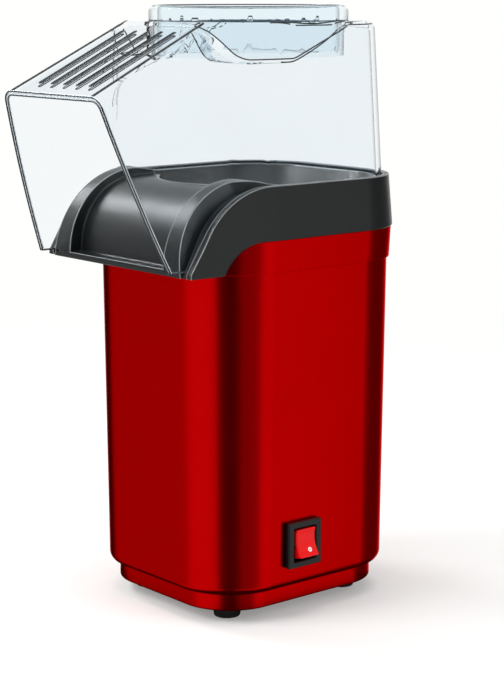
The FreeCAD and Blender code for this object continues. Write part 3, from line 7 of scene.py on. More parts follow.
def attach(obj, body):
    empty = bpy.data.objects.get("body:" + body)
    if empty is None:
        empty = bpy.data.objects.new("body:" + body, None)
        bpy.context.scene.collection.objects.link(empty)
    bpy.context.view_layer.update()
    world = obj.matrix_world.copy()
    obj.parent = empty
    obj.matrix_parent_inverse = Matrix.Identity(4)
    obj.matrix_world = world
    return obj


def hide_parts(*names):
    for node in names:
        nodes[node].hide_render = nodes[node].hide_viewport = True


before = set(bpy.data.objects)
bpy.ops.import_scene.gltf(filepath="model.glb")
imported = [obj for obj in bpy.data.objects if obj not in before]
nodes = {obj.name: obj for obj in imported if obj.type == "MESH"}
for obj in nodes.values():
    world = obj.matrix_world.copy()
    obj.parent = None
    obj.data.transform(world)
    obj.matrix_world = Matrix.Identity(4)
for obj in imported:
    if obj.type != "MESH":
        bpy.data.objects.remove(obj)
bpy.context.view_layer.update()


# The base plate is a shallow red tray, moulded in glossy plastic, that closes the body from below.
# It stands a little inside the shell, so a dark line shows between the two.
# The finish of every moulded piece starts here: a faint mottle and a fine tool grain.
def moulded_skin():
    group = bpy.data.node_groups.new("moulded_skin", "ShaderNodeTree")
    face = group.interface
    face.new_socket("Colour", in_out="INPUT", socket_type="NodeSocketColor")
    for name in ("Mottle", "Roughness", "Spread", "Scale"):
        face.new_socket(name, in_out="INPUT", socket_type="NodeSocketFloat")
    face.new_socket("Colour", in_out="OUTPUT", socket_type="NodeSocketColor")
    face.new_socket("Roughness", in_out="OUTPUT", socket_type="NodeSocketFloat")
    face.new_socket("Height", in_out="OUTPUT", socket_type="NodeSocketFloat")
    new = group.nodes.new
    given = new("NodeGroupInput")
    made = new("NodeGroupOutput")
    place = new("ShaderNodeTexCoord")
    cloud = new("ShaderNodeTexNoise")
    cloud.inputs["Scale"].default_value = 28.0
    cloud.inputs["Detail"].default_value = 3.0
    grain = new("ShaderNodeTexNoise")
    grain.inputs["Detail"].default_value = 2.0
    darker = new("ShaderNodeMath")
    darker.operation = "MULTIPLY"
    keep = new("ShaderNodeMath")
    keep.operation = "SUBTRACT"
    keep.inputs[0].default_value = 1.0
    tint = new("ShaderNodeVectorMath")
    tint.operation = "SCALE"
    centred = new("ShaderNodeMath")
    centred.operation = "SUBTRACT"
    centred.inputs[1].default_value = 0.5
    rough = new("ShaderNodeMath")
    rough.operation = "MULTIPLY_ADD"
    link = group.links.new
    link(place.outputs["Object"], cloud.inputs["Vector"])
    link(place.outputs["Object"], grain.inputs["Vector"])
    link(given.outputs["Scale"], grain.inputs["Scale"])
    link(cloud.outputs["Fac"], darker.inputs[0])
    link(given.outputs["Mottle"], darker.inputs[1])
    link(darker.outputs[0], keep.inputs[1])
    link(given.outputs["Colour"], tint.inputs[0])
    link(keep.outputs[0], tint.inputs["Scale"])
    link(tint.outputs[0], made.inputs["Colour"])
    link(cloud.outputs["Fac"], centred.inputs[0])
    link(centred.outputs[0], rough.inputs[0])
    link(given.outputs["Spread"], rough.inputs[1])
    link(given.outputs["Roughness"], rough.inputs[2])
    link(rough.outputs[0], made.inputs["Roughness"])
    link(grain.outputs["Fac"], made.inputs["Height"])
    return group


def finish_with(name, group, settings, relief):
    material = bpy.data.materials.new(name)
    material.use_nodes = True
    tree = material.node_tree
    shader = tree.nodes["Principled BSDF"]
    skin = tree.nodes.new("ShaderNodeGroup")
    skin.node_tree = group
    for socket, value in settings.items():
        skin.inputs[socket].default_value = value
    bump = tree.nodes.new("ShaderNodeBump")
    bump.inputs["Strength"].default_value = relief
    bump.inputs["Distance"].default_value = 0.0004
    tree.links.new(skin.outputs["Colour"], shader.inputs["Base Color"])
    tree.links.new(skin.outputs["Roughness"], shader.inputs["Roughness"])
    tree.links.new(skin.outputs["Height"], bump.inputs["Height"])
    tree.links.new(bump.outputs["Normal"], shader.inputs["Normal"])
    return material, shader


def paint(material, *names):
    for name in names:
        for place in nodes[name].material_slots:
            place.material = material


weld_gap = 2e-6
flat_angle = math.radians(0.05)
sharp_angle = math.radians(28)
rounded_angle = math.radians(40)
most_corners = 8


def merged_copy(node):
    shape = bmesh.new()
    shape.from_mesh(nodes[node].data)
    bmesh.ops.remove_doubles(shape, verts=shape.verts, dist=weld_gap)
    shape.normal_update()
    return shape


def softened(node, body, material, edge):
    mesh = nodes[node].data.copy()
    mesh.name = f"{node}_moulded"
    shape = merged_copy(node)
    bmesh.ops.dissolve_limit(
        shape, angle_limit=flat_angle, verts=shape.verts, edges=shape.edges
    )
    wide = [face for face in shape.faces if len(face.verts) > most_corners]
    bmesh.ops.triangulate(shape, faces=wide)
    for face in shape.faces:
        face.smooth = True
    shape.to_mesh(mesh)
    shape.free()
    mesh.materials.clear()
    mesh.materials.append(material)
    piece = bpy.data.objects.new(f"{node}_moulded", mesh)
    bpy.context.scene.collection.objects.link(piece)
    mesh.set_sharp_from_angle(angle=sharp_angle)
    if edge:
        rounding = piece.modifiers.new("soft_edges", "BEVEL")
        rounding.width = edge
        rounding.segments = 3
        rounding.limit_method = "ANGLE"
        rounding.angle_limit = rounded_angle
        rounding.use_clamp_overlap = False
    level = piece.modifiers.new("flat_faces", "WEIGHTED_NORMAL")
    level.mode = "FACE_AREA"
    level.weight = 100
    level.keep_sharp = True
    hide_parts(node)
    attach(piece, body)
    return piece


skin_group = moulded_skin()
red_gloss, red_shader = finish_with(
    "red_gloss",
    skin_group,
    {
        "Colour": (0.52, 0.0004, 0.0012, 1),
        "Mottle": 0.06,
        "Roughness": 0.27,
        "Spread": 0.05,
        "Scale": 900.0,
    },
    relief=0.01,
)
red_shader.inputs["Metallic"].default_value = 1.0
red_shader.inputs["Specular Tint"].default_value = (1.0, 0.05, 0.05, 1)
base_edge = 0.0006
softened("base_plate", "housing", red_gloss, base_edge)


# Four soft rubber feet stand under the base plate, each moulded with a seat for a screw's head.
# The screws hold them to the base, and their skin is matt and uneven.
foot_rubber, foot_shader = finish_with(
    "foot_rubber",
    skin_group,
    {
        "Colour": (0.018, 0.018, 0.019, 1),
        "Mottle": 0.35,
        "Roughness": 0.78,
        "Spread": 0.2,
        "Scale": 1600.0,
    },
    relief=0.25,
)
foot_shader.inputs["Specular IOR Level"].default_value = 0.35
foot_edge = 0.0005
softened("feet", "housing", foot_rubber, foot_edge)


# The outer shell is one deep moulding in the same red, drafted towards the bottom.
# The shoulder ring above it is a band of its own that the collar stands on.
shell_edge = 0.0002
softened("outer_shell", "housing", red_gloss, shell_edge)
softened("shoulder_ring", "housing", red_gloss, shell_edge)


# Screws, the rocker's pin, the fuse, and the motor's can, bracket, core and shaft are bright steel.
# Drawn and turned metal keeps fine lines along one way, which also spread its shine.
def drawn_lines():
    group = bpy.data.node_groups.new("drawn_lines", "ShaderNodeTree")
    face = group.interface
    face.new_socket("Colour", in_out="INPUT", socket_type="NodeSocketColor")
    for name in ("Tarnish", "Roughness", "Spread", "Lines"):
        face.new_socket(name, in_out="INPUT", socket_type="NodeSocketFloat")
    face.new_socket("Colour", in_out="OUTPUT", socket_type="NodeSocketColor")
    face.new_socket("Roughness", in_out="OUTPUT", socket_type="NodeSocketFloat")
    face.new_socket("Height", in_out="OUTPUT", socket_type="NodeSocketFloat")
    new = group.nodes.new
    given = new("NodeGroupInput")
    made = new("NodeGroupOutput")
    place = new("ShaderNodeTexCoord")
    along = new("ShaderNodeMapping")
    along.inputs["Scale"].default_value = (0.05, 0.05, 1.0)
    lines = new("ShaderNodeTexNoise")
    lines.inputs["Detail"].default_value = 4.0
    cloud = new("ShaderNodeTexNoise")
    cloud.inputs["Scale"].default_value = 55.0
    darker = new("ShaderNodeMath")
    darker.operation = "MULTIPLY"
    keep = new("ShaderNodeMath")
    keep.operation = "SUBTRACT"
    keep.inputs[0].default_value = 1.0
    tint = new("ShaderNodeVectorMath")
    tint.operation = "SCALE"
    rough = new("ShaderNodeMath")
    rough.operation = "MULTIPLY_ADD"
    link = group.links.new
    link(place.outputs["Object"], along.inputs["Vector"])
    link(along.outputs["Vector"], lines.inputs["Vector"])
    link(given.outputs["Lines"], lines.inputs["Scale"])
    link(place.outputs["Object"], cloud.inputs["Vector"])
    link(cloud.outputs["Fac"], darker.inputs[0])
    link(given.outputs["Tarnish"], darker.inputs[1])
    link(darker.outputs[0], keep.inputs[1])
    link(given.outputs["Colour"], tint.inputs[0])
    link(keep.outputs[0], tint.inputs["Scale"])
    link(tint.outputs[0], made.inputs["Colour"])
    link(lines.outputs["Fac"], rough.inputs[0])
    link(given.outputs["Spread"], rough.inputs[1])
    link(given.outputs["Roughness"], rough.inputs[2])
    link(rough.outputs[0], made.inputs["Roughness"])
    link(lines.outputs["Fac"], made.inputs["Height"])
    return group


metal_group = drawn_lines()
steel, steel_shader = finish_with(
    "steel",
    metal_group,
    {
        "Colour": (0.60, 0.60, 0.61, 1),
        "Tarnish": 0.25,
        "Roughness": 0.22,
        "Spread": 0.2,
        "Lines": 2200.0,
    },
    relief=0.06,
)
steel_shader.inputs["Metallic"].default_value = 1.0
paint(
    steel,
    "base_screws",
    "tube_screws",
    "thermal_fuse",
    "motor_bracket",
    "motor_can",
    "motor_screws",
    "motor_shaft",
    "armature",
    "rocker_pin",
)


# The switch is a rocker in a black nylon frame set in the shell, with two bronze tabs behind it.
# The key is glossy red and turns on a steel pin.
# A small white ring is printed on its lower half.
black_satin, black_shader = finish_with(
    "black_satin",
    skin_group,
    {
        "Colour": (0.006, 0.0075, 0.008, 1),
        "Mottle": 0.25,
        "Roughness": 0.34,
        "Spread": 0.12,
        "Scale": 1400.0,
    },
    relief=0.02,
)
black_shader.inputs["Specular IOR Level"].default_value = 0.32
switch_edge = 0.0005
softened("switch_frame", "housing", black_satin, switch_edge)
bronze, bronze_shader = finish_with(
    "bush_bronze",
    metal_group,
    {
        "Colour": (0.62, 0.42, 0.20, 1),
        "Tarnish": 0.35,
        "Roughness": 0.28,
        "Spread": 0.2,
        "Lines": 1800.0,
    },
    relief=0.05,
)
bronze_shader.inputs["Metallic"].default_value = 1.0
paint(bronze, "switch_tabs", "lower_bush", "upper_bush")
key_red, key_shader = finish_with(
    "rocker_red",
    skin_group,
    {
        "Colour": (0.82, 0.004, 0.005, 1),
        "Mottle": 0.10,
        "Roughness": 0.18,
        "Spread": 0.06,
        "Scale": 900.0,
    },
    relief=0.02,
)
key_shader.inputs["Specular IOR Level"].default_value = 0.2
key_edge = 0.0006
key_piece = softened("rocker", "rocker_key", key_red, key_edge)

mark_white = finish_with(
    "mark_white",
    skin_group,
    {
        "Colour": (0.86, 0.86, 0.84, 1),
        "Mottle": 0.10,
        "Roughness": 0.5,
        "Spread": 0.1,
        "Scale": 2500.0,
    },
    relief=0.1,
)[0]
ring_spot = Vector((0.0531, 0.0133, 0.0301))
ring_radius = 0.0010
ring_line = 0.0007
ring_lift = 0.00004
ring_steps = 40
band_corners = 4
bpy.context.view_layer.update()
touch, outward = key_piece.closest_point_on_mesh(ring_spot)[1:3]
ring = bmesh.new()
bmesh.ops.create_circle(ring, cap_ends=True, radius=ring_radius, segments=ring_steps)
bmesh.ops.inset_individual(ring, faces=ring.faces[:], thickness=ring_line)
inner = [face for face in ring.faces if len(face.verts) > band_corners]
bmesh.ops.delete(ring, geom=inner, context="FACES")
turn = outward.to_track_quat("Z", "Y").to_matrix().to_4x4()
bmesh.ops.transform(
    ring, matrix=Matrix.Translation(touch + outward * ring_lift) @ turn, verts=ring.verts
)
for vert in ring.verts:
    touch, outward = key_piece.closest_point_on_mesh(vert.co)[1:3]
    vert.co = touch + outward * ring_lift
ring_mesh = bpy.data.meshes.new("rocker_ring_mark")
ring.to_mesh(ring_mesh)
ring.free()
ring_mesh.materials.append(mark_white)
ring_mark = bpy.data.objects.new("rocker_ring_mark", ring_mesh)
bpy.context.scene.collection.objects.link(ring_mark)
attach(ring_mark, "rocker_key")


# The cord gland at the back is a black nylon bush with a hole for a mains lead.
# It is moulded in one piece and snaps into a round hole in the rear wall.
gland_edge = 0.0005
softened("cord_gland", "housing", black_satin, gland_edge)


# The motor hangs under the heater tube: a steel can with ceramic magnets and bronze bushes,
# a black end cap, and a small board with four diodes. The black fan sits on its shaft.
paint(black_satin, "motor_end_cap", "diodes", "fan")
ferrite, ferrite_shader = finish_with(
    "magnet",
    skin_group,
    {
        "Colour": (0.045, 0.043, 0.042, 1),
        "Mottle": 0.4,
        "Roughness": 0.6,
        "Spread": 0.25,
        "Scale": 1800.0,
    },
    relief=0.3,
)
ferrite_shader.inputs["Metallic"].default_value = 0.3
paint(ferrite, "motor_magnets")
board_brown, board_shader = finish_with(
    "circuit_board",
    skin_group,
    {
        "Colour": (0.30, 0.19, 0.07, 1),
        "Mottle": 0.3,
        "Roughness": 0.45,
        "Spread": 0.15,
        "Scale": 1200.0,
    },
    relief=0.1,
)
board_shader.inputs["Coat Weight"].default_value = 0.2
paint(board_brown, "rectifier_board")


# The heater is a glass-filled tube with two crossed mica boards that carry the coiled wire.
# A thermostat and a fuse sit on it to cut the heat.
tube_grey, tube_shader = finish_with(
    "tube_plastic",
    skin_group,
    {
        "Colour": (0.22, 0.21, 0.19, 1),
        "Mottle": 0.25,
        "Roughness": 0.55,
        "Spread": 0.15,
        "Scale": 1500.0,
    },
    relief=0.2,
)
tube_shader.inputs["Specular IOR Level"].default_value = 0.4
paint(tube_grey, "heater_tube", "thermostat")
mica, mica_shader = finish_with(
    "mica",
    skin_group,
    {
        "Colour": (0.50, 0.42, 0.30, 1),
        "Mottle": 0.5,
        "Roughness": 0.4,
        "Spread": 0.3,
        "Scale": 700.0,
    },
    relief=0.25,
)
mica_shader.inputs["Coat Weight"].default_value = 0.3
paint(mica, "heater_board_along", "heater_board_across")
wire, wire_shader = finish_with(
    "element_alloy",
    metal_group,
    {
        "Colour": (0.42, 0.39, 0.37, 1),
        "Tarnish": 0.5,
        "Roughness": 0.35,
        "Spread": 0.25,
        "Lines": 2600.0,
    },
    relief=0.08,
)
wire_shader.inputs["Metallic"].default_value = 1.0
paint(wire, "heating_element")


# The popping chamber is a spun aluminium pot with narrow air slots low in its wall.
# It stands in the collar on a ring of grey silicone.
aluminium, aluminium_shader = finish_with(
    "chamber_aluminium",
    metal_group,
    {
        "Colour": (0.66, 0.67, 0.68, 1),
        "Tarnish": 0.2,
        "Roughness": 0.26,
        "Spread": 0.25,
        "Lines": 1500.0,
    },
    relief=0.08,
)
aluminium_shader.inputs["Metallic"].default_value = 1.0
paint(aluminium, "popping_chamber")
silicone, silicone_shader = finish_with(
    "seal_silicone",
    skin_group,
    {
        "Colour": (0.34, 0.33, 0.32, 1),
        "Mottle": 0.2,
        "Roughness": 0.65,
        "Spread": 0.15,
        "Scale": 1300.0,
    },
    relief=0.15,
)
silicone_shader.inputs["Specular IOR Level"].default_value = 0.4
paint(silicone, "chamber_seal")


# The collar is a black satin moulding that runs forward as a trough between two rails.
# It stands on the shoulder ring and holds the chamber and the cover.
# Its rim and rails are thin, and a painted highlight, a pale grey line, runs along their upper
# edges.
line_turn = math.radians(55)
down_slope = -0.3


def keep_lines(shape, unwanted, depth):
    for vert in shape.verts:
        vert.co -= vert.normal * depth
    bmesh.ops.delete(shape, geom=unwanted, context="EDGES")
    loose = [vert for vert in shape.verts if not vert.link_edges]
    bmesh.ops.delete(shape, geom=loose, context="VERTS")


def sharp_edges(node, depth, left_out):
    shape = merged_copy(node)
    unwanted = [
        edge
        for edge in shape.edges
        if edge.calc_face_angle_signed(0) < line_turn or left_out(edge)
    ]
    keep_lines(shape, unwanted, depth)
    return shape


def edge_lines(name, shape, body, material, radius):
    lines = bpy.data.meshes.new(name)
    shape.to_mesh(lines)
    shape.free()
    wire = bpy.data.objects.new(name, lines)
    bpy.context.scene.collection.objects.link(wire)
    for other in bpy.context.selected_objects:
        other.select_set(False)
    wire.select_set(True)
    bpy.context.view_layer.objects.active = wire
    bpy.ops.object.convert(target="CURVE")
    wire.data.bevel_depth = radius
    wire.data.bevel_resolution = 1
    bpy.ops.object.convert(target="MESH")
    wire.data.materials.clear()
    wire.data.materials.append(material)
    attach(wire, body)


def faces_down(edge):
    return any(face.normal.z < down_slope for face in edge.link_faces)


collar_edge = 0.0007
softened("collar", "housing", black_satin, collar_edge)
# Painted highlight: pale grey tubes laid along the collar's sharp upper edges.
rim_shine = finish_with(
    "rim_shine",
    skin_group,
    {
        "Colour": (0.22, 0.235, 0.24, 1),
        "Mottle": 0.3,
        "Roughness": 0.35,
        "Spread": 0.1,
        "Scale": 1400.0,
    },
    relief=0.05,
)[0]
rim_line = 0.00022
collar_rims = sharp_edges("collar", rim_line, faces_down)
edge_lines("collar_rim_highlight_lines", collar_rims, "housing", rim_shine, rim_line)


# The cover is one clear moulding, a tower with a hood over the trough and two grip recesses.
# It drops into the groove of the collar's rim, and its walls grow dark where they are seen edge on.
# Painted shade: thin dark lines along its edges, folds and deck stand for how dark its clear edges
# look, and a painted highlight, a pale band, lies inside the mouth's rim.
graze_start = 0.68
graze_end = 0.92
wall_tilt = 0.25
deck_tilt = 0.6
edge_on_colour = (0.03, 0.04, 0.05, 1)


def clear_finish(name, colour, roughness, index):
    material, shader = finish_with(
        name,
        skin_group,
        {
            "Colour": colour,
            "Mottle": 0.03,
            "Roughness": roughness,
            "Spread": 0.02,
            "Scale": 40.0,
        },
        relief=0.001,
    )
    shader.inputs["Transmission Weight"].default_value = 1.0
    shader.inputs["IOR"].default_value = index
    new = material.node_tree.nodes.new
    link = material.node_tree.links.new
    slant = new("ShaderNodeLayerWeight")
    slant.inputs["Blend"].default_value = 0.5
    grazing = new("ShaderNodeMapRange")
    grazing.inputs["From Min"].default_value = graze_start
    grazing.inputs["From Max"].default_value = graze_end
    facing = new("ShaderNodeTexCoord")
    parts = new("ShaderNodeSeparateXYZ")
    tilt = new("ShaderNodeMath")
    tilt.operation = "ABSOLUTE"
    upright = new("ShaderNodeMapRange")
    upright.inputs["From Min"].default_value = wall_tilt
    upright.inputs["From Max"].default_value = deck_tilt
    upright.inputs["To Min"].default_value = 1.0
    upright.inputs["To Max"].default_value = 0.0
    share = new("ShaderNodeMath")
    share.operation = "MULTIPLY"
    deep = new("ShaderNodeMix")
    deep.data_type = "RGBA"
    deep.inputs["B"].default_value = edge_on_colour
    link(slant.outputs["Facing"], grazing.inputs["Value"])
    link(facing.outputs["Normal"], parts.inputs["Vector"])
    link(parts.outputs["Z"], tilt.inputs[0])
    link(tilt.outputs[0], upright.inputs["Value"])
    link(grazing.outputs["Result"], share.inputs[0])
    link(upright.outputs["Result"], share.inputs[1])
    link(share.outputs[0], deep.inputs["Factor"])
    link(shader.inputs["Base Color"].links[0].from_socket, deep.inputs["A"])
    link(deep.outputs["Result"], shader.inputs["Base Color"])
    ray = new("ShaderNodeLightPath")
    through = new("ShaderNodeBsdfTransparent")
    through.inputs["Color"].default_value = colour
    blend = new("ShaderNodeMixShader")
    out = material.node_tree.nodes["Material Output"]
    link(ray.outputs["Is Shadow Ray"], blend.inputs["Fac"])
    link(shader.outputs["BSDF"], blend.inputs[1])
    link(through.outputs["BSDF"], blend.inputs[2])
    link(blend.outputs["Shader"], out.inputs["Surface"])
    return material


# Material for the painted lines: dark ones are painted shade, the pale one is a painted highlight.
def edge_shade_and_highlight(name, colour, alpha):
    material, shader = finish_with(
        name,
        skin_group,
        {
            "Colour": colour,
            "Mottle": 0.2,
            "Roughness": 0.3,
            "Spread": 0.1,
            "Scale": 300.0,
        },
        relief=0.01,
    )
    shader.inputs["Alpha"].default_value = alpha
    return material


hood_back_y = -0.018
recess_floor_z = 0.225
deck_half_width = 0.0372


def middle_of(edge):
    return (edge.verts[0].co + edge.verts[1].co) / 2


def round_the_cup(edge):
    spot = middle_of(edge)
    inside = abs(spot.x) < deck_half_width
    return inside and spot.y > hood_back_y and spot.z > recess_floor_z


cover_clear = clear_finish(
    "cover_clear", (0.925, 0.955, 0.975, 1), roughness=0.02, index=1.04
)
# Painted shade: the dark material of the lines along the cover's edges, folds and deck.
cover_edge_painted_shade = edge_shade_and_highlight("cover_edge_painted_shade", (0.018, 0.025, 0.03, 1), alpha=0.95)
softened("cover", "cover", cover_clear, edge=0)
line_radius = 0.0003
cover_lines = sharp_edges("cover", line_radius, round_the_cup)
edge_lines("cover_edge_shade_lines", cover_lines, "cover", cover_edge_painted_shade, line_radius)
fold_radius = 0.0005
fold_front = (0.0272, -0.0762, 0.2172)
fold_back = (0.0254, -0.0211, 0.2435)
folds = bmesh.new()
for side in (1, -1):
    front = folds.verts.new((side * fold_front[0], *fold_front[1:]))
    back = folds.verts.new((side * fold_back[0], *fold_back[1:]))
    folds.edges.new((front, back))
edge_lines("cover_fold_shade_lines", folds, "cover", cover_edge_painted_shade, fold_radius)

# Painted highlight: a pale band sunk just inside the mouth's rim, standing for light on the wall's
# cut face.
mouth_painted_highlight = edge_shade_and_highlight("mouth_rim_painted_highlight", (0.82, 0.87, 0.90, 1), alpha=0.8)
rim_sunk = 0.0005
rim_depth = 0.0003
mouth_slope = -0.8
mouth_back_y = -0.05
rim_shape = merged_copy("cover")
walls = [
    face
    for face in rim_shape.faces
    if face.normal.y > mouth_slope or face.calc_center_median().y > mouth_back_y
]
bmesh.ops.delete(rim_shape, geom=walls, context="FACES")
rim_shape.normal_update()
for vert in rim_shape.verts:
    vert.co -= vert.normal * rim_sunk
bmesh.ops.solidify(rim_shape, geom=rim_shape.faces[:], thickness=rim_depth)
bmesh.ops.recalc_face_normals(rim_shape, faces=rim_shape.faces)
rim_mesh = bpy.data.meshes.new("cover_mouth_rim")
rim_shape.to_mesh(rim_mesh)
rim_shape.free()
rim_mesh.materials.append(mouth_painted_highlight)
mouth_rim = bpy.data.objects.new("cover_mouth_rim", rim_mesh)
bpy.context.scene.collection.objects.link(mouth_rim)
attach(mouth_rim, "cover")

# Painted shade: a dark line round the deck, just below its top.
deck_drop = 0.0012
level_gap = 1e-6
rising = 0.2
hood_side = -0.3
body_middle_y = 0.0212
deck_shape = merged_copy("cover")
deck_height = max(vert.co.z for vert in deck_shape.verts) - deck_drop
bmesh.ops.bisect_plane(
    deck_shape,
    geom=deck_shape.verts[:] + deck_shape.edges[:] + deck_shape.faces[:],
    plane_co=(0, 0, deck_height),
    plane_no=(0, 0, 1),
)
deck_shape.normal_update()
beside_deck = []
for edge in deck_shape.edges:
    level = all(abs(vert.co.z - deck_height) < level_gap for vert in edge.verts)
    outward = edge.link_faces[0].normal
    spot = middle_of(edge)
    away = outward.x * spot.x + outward.y * (spot.y - body_middle_y)
    if not level or away < 0 or outward.z < rising or outward.y < hood_side:
        beside_deck.append(edge)
keep_lines(deck_shape, beside_deck, line_radius)
edge_lines("cover_deck_shade_lines", deck_shape, "cover", cover_edge_painted_shade, line_radius)


# The measuring cup is a shallow round cup in the same plastic, faintly blue.
# It stands in the hole of the cover's deck, on its own rim.
cup_rim_z = 0.243


def below_the_deck(edge):
    return max(vert.co.z for vert in edge.verts) < cup_rim_z


cup_clear = clear_finish(
    "cup_clear", (0.90, 0.957, 0.988, 1), roughness=0.03, index=1.05
)
# Painted shade: dark lines along the cup's edges stand for how dark its clear edges look.
cup_edge_painted_shade = edge_shade_and_highlight("cup_edge_painted_shade", (0.05, 0.075, 0.10, 1), alpha=0.8)
softened("measuring_cup", "cup", cup_clear, edge=0)
cup_lines = sharp_edges("measuring_cup", line_radius, below_the_deck)
edge_lines("cup_edge_shade_lines", cup_lines, "cup", cup_edge_painted_shade, line_radius)


# The floor is a plain pale sheet, not part of the object.
# It keeps the shadow under the body and runs out to the white of the room.
floor_half = 4.0
floor = bmesh.new()
bmesh.ops.create_grid(floor, x_segments=1, y_segments=1, size=floor_half)
floor_mesh = bpy.data.meshes.new("floor")
floor.to_mesh(floor_mesh)
floor.free()
floor_piece = bpy.data.objects.new("floor", floor_mesh)
bpy.context.scene.collection.objects.link(floor_piece)
floor_finish = bpy.data.materials.new("floor_pale")
floor_finish.use_nodes = True
floor_tree = floor_finish.node_tree
floor_shader = floor_tree.nodes["Principled BSDF"]
floor_shader.inputs["Base Color"].default_value = (0.84, 0.84, 0.83, 1)
floor_shader.inputs["Roughness"].default_value = 0.9
floor_shader.inputs["Specular IOR Level"].default_value = 0.1


def seen_rays(tree):
    ray = tree.nodes.new("ShaderNodeLightPath")
    direct = tree.nodes.new("ShaderNodeMath")
    direct.operation = "MAXIMUM"
    seen = tree.nodes.new("ShaderNodeMath")
    seen.operation = "MAXIMUM"
    tree.links.new(ray.outputs["Is Camera Ray"], direct.inputs[0])
    tree.links.new(ray.outputs["Is Glossy Ray"], direct.inputs[1])
    tree.links.new(direct.outputs[0], seen.inputs[0])
    tree.links.new(ray.outputs["Is Transmission Ray"], seen.inputs[1])
    return seen.outputs[0]


room_white = (1.0, 1.0, 0.985, 1)
shadow_radius = 0.20
white_radius = 0.75
near_glow = 0.25
glow = floor_tree.nodes.new("ShaderNodeEmission")
glow.inputs["Color"].default_value = room_white
place = floor_tree.nodes.new("ShaderNodeTexCoord")
far = floor_tree.nodes.new("ShaderNodeVectorMath")
far.operation = "LENGTH"
fade = floor_tree.nodes.new("ShaderNodeMapRange")
fade.inputs["From Min"].default_value = shadow_radius
fade.inputs["From Max"].default_value = white_radius
fade.inputs["To Min"].default_value = near_glow
fade.inputs["To Max"].default_value = 1.0
share = floor_tree.nodes.new("ShaderNodeMath")
share.operation = "MULTIPLY"
mix = floor_tree.nodes.new("ShaderNodeMixShader")
floor_out = floor_tree.nodes["Material Output"]
floor_tree.links.new(place.outputs["Object"], far.inputs[0])
floor_tree.links.new(far.outputs["Value"], fade.inputs["Value"])
floor_tree.links.new(seen_rays(floor_tree), share.inputs[0])
floor_tree.links.new(fade.outputs["Result"], share.inputs[1])
floor_tree.links.new(share.outputs[0], mix.inputs["Fac"])
floor_tree.links.new(floor_shader.outputs["BSDF"], mix.inputs[1])
floor_tree.links.new(glow.outputs["Emission"], mix.inputs[2])
floor_tree.links.new(mix.outputs["Shader"], floor_out.inputs["Surface"])
floor_mesh.materials.append(floor_finish)
floor_piece.visible_glossy = False


# Grey and dark cards stand round the object, out of the picture, as in a studio.
# The red skin mirrors them as the dark bands at its corners.
# A small one lies under the base and keeps the seam above it dark.
card_distance = 1.2
card_half_height = 0.9
dark_tone = 0.05
stage_cards = (
    ("card_corner", -40, 0.42, dark_tone),
    ("card_soft", -6, 0.40, 0.35),
    ("card_right", 76, 0.66, 0.15),
    ("card_left", 178, 0.34, 0.02),
    ("card_front", -142, 0.62, 0.60),
)
under_half = 0.057
under_height = 0.0004


def stand_card(name, shape, tone):
    paper = bpy.data.materials.new(name)
    paper.use_nodes = True
    paper_shader = paper.node_tree.nodes["Principled BSDF"]
    paper_shader.inputs["Base Color"].default_value = (0, 0, 0, 1)
    paper_shader.inputs["Specular IOR Level"].default_value = 0.0
    paper_shader.inputs["Emission Color"].default_value = (1, 1, 1, 1)
    paper_shader.inputs["Emission Strength"].default_value = tone
    mesh = bpy.data.meshes.new(name)
    shape.to_mesh(mesh)
    shape.free()
    mesh.materials.append(paper)
    piece = bpy.data.objects.new(name, mesh)
    bpy.context.scene.collection.objects.link(piece)
    piece.visible_camera = False
    piece.visible_diffuse = False
    piece.visible_shadow = False
    piece.visible_transmission = False


for name, azimuth, half_width, tone in stage_cards:
    angle = math.radians(azimuth)
    card = bmesh.new()
    bmesh.ops.create_grid(card, x_segments=1, y_segments=1, size=1.0)
    bmesh.ops.scale(card, vec=(half_width, card_half_height, 1), verts=card.verts)
    upright = Matrix.Rotation(math.radians(90), 4, "X")
    turned = Matrix.Rotation(angle + math.radians(90), 4, "Z")
    way = Vector((math.cos(angle), math.sin(angle), 0))
    bmesh.ops.transform(
        card,
        matrix=Matrix.Translation(way * card_distance) @ turned @ upright,
        verts=card.verts,
    )
    stand_card(name, card, tone)
under_card = bmesh.new()
bmesh.ops.create_grid(under_card, x_segments=1, y_segments=1, size=under_half)
bmesh.ops.translate(
    under_card, vec=(0, body_middle_y, under_height), verts=under_card.verts
)
stand_card("card_under", under_card, dark_tone)


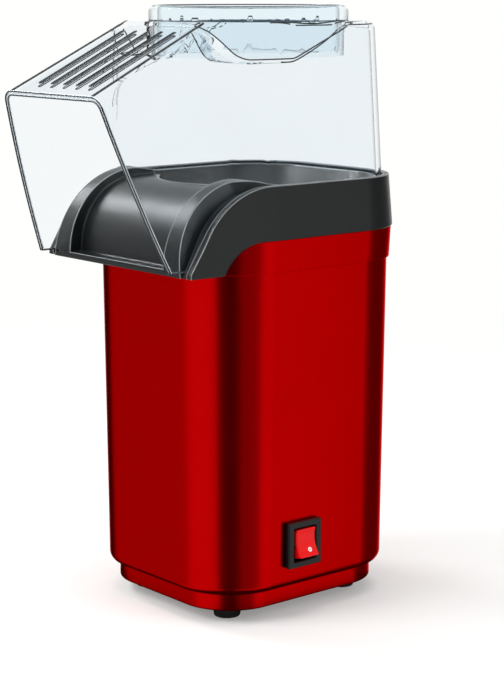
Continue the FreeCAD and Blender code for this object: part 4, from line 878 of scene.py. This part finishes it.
# Soft studio light: a large box high on the left, weaker ones on the right and above,
# and a small one behind that draws the bright band across the trough.
# The room round them is pale, and white where it is seen.
def soft_box(name, place, aim, size, power):
    light = bpy.data.lights.new(name, "AREA")
    light.shape = "SQUARE"
    light.size = size
    light.energy = power
    box = bpy.data.objects.new(name, light)
    box.location = place
    box.rotation_euler = (Vector(aim) - Vector(place)).to_track_quat("-Z", "Y").to_euler()
    bpy.context.scene.collection.objects.link(box)
    return box


body_heart = (0, 0.02, 0.12)
trough_heart = (0, -0.03, 0.17)
soft_box("key_box", (-0.35, -1.1, 1.0), aim=body_heart, size=0.8, power=14)
side_box = soft_box("side_box", (1.1, 0.55, 0.7), aim=body_heart, size=0.7, power=5)
top_box = soft_box("top_box", (0.1, 0.1, 1.5), aim=body_heart, size=1.0, power=10)
soft_box("trough_box", (-0.95, -0.26, 0.95), aim=trough_heart, size=0.4, power=6.5)
side_box.visible_glossy = False
top_box.visible_glossy = False
world = bpy.data.worlds.new("pale_room")
bpy.context.scene.world = world
world.use_nodes = True
room_tree = world.node_tree
room = room_tree.nodes["Background"]
room.inputs["Color"].default_value = (1, 1, 1, 1)
room.inputs["Strength"].default_value = 0.45
backdrop = room_tree.nodes.new("ShaderNodeBackground")
backdrop.inputs["Color"].default_value = room_white
backdrop.inputs["Strength"].default_value = 1.0
room_mix = room_tree.nodes.new("ShaderNodeMixShader")
room_out = room_tree.nodes["World Output"]
room_tree.links.new(seen_rays(room_tree), room_mix.inputs["Fac"])
room_tree.links.new(room.outputs["Background"], room_mix.inputs[1])
room_tree.links.new(backdrop.outputs["Background"], room_mix.inputs[2])
room_tree.links.new(room_mix.outputs["Shader"], room_out.inputs["Surface"])


# The camera looks at the near corner from a little above, at the photograph's angle.
# Its place and lens were fitted to the body's edges and the real sizes.
camera_place = Vector((0.61718, -0.49517, 0.25977))
camera_aim = Vector((0, 0.0212, 0.10598))
camera_data = bpy.data.cameras.new("photo_camera")
camera_data.sensor_width = 36.0
camera_data.lens = 99.35
camera_data.shift_x = 0.0105
camera_data.clip_end = 20.0
camera = bpy.data.objects.new("photo_camera", camera_data)
camera.location = camera_place
camera.rotation_euler = (camera_aim - camera_place).to_track_quat("-Z", "Y").to_euler()
bpy.context.scene.collection.objects.link(camera)
bpy.context.scene.camera = camera
bpy.context.scene.view_settings.view_transform = "Standard"
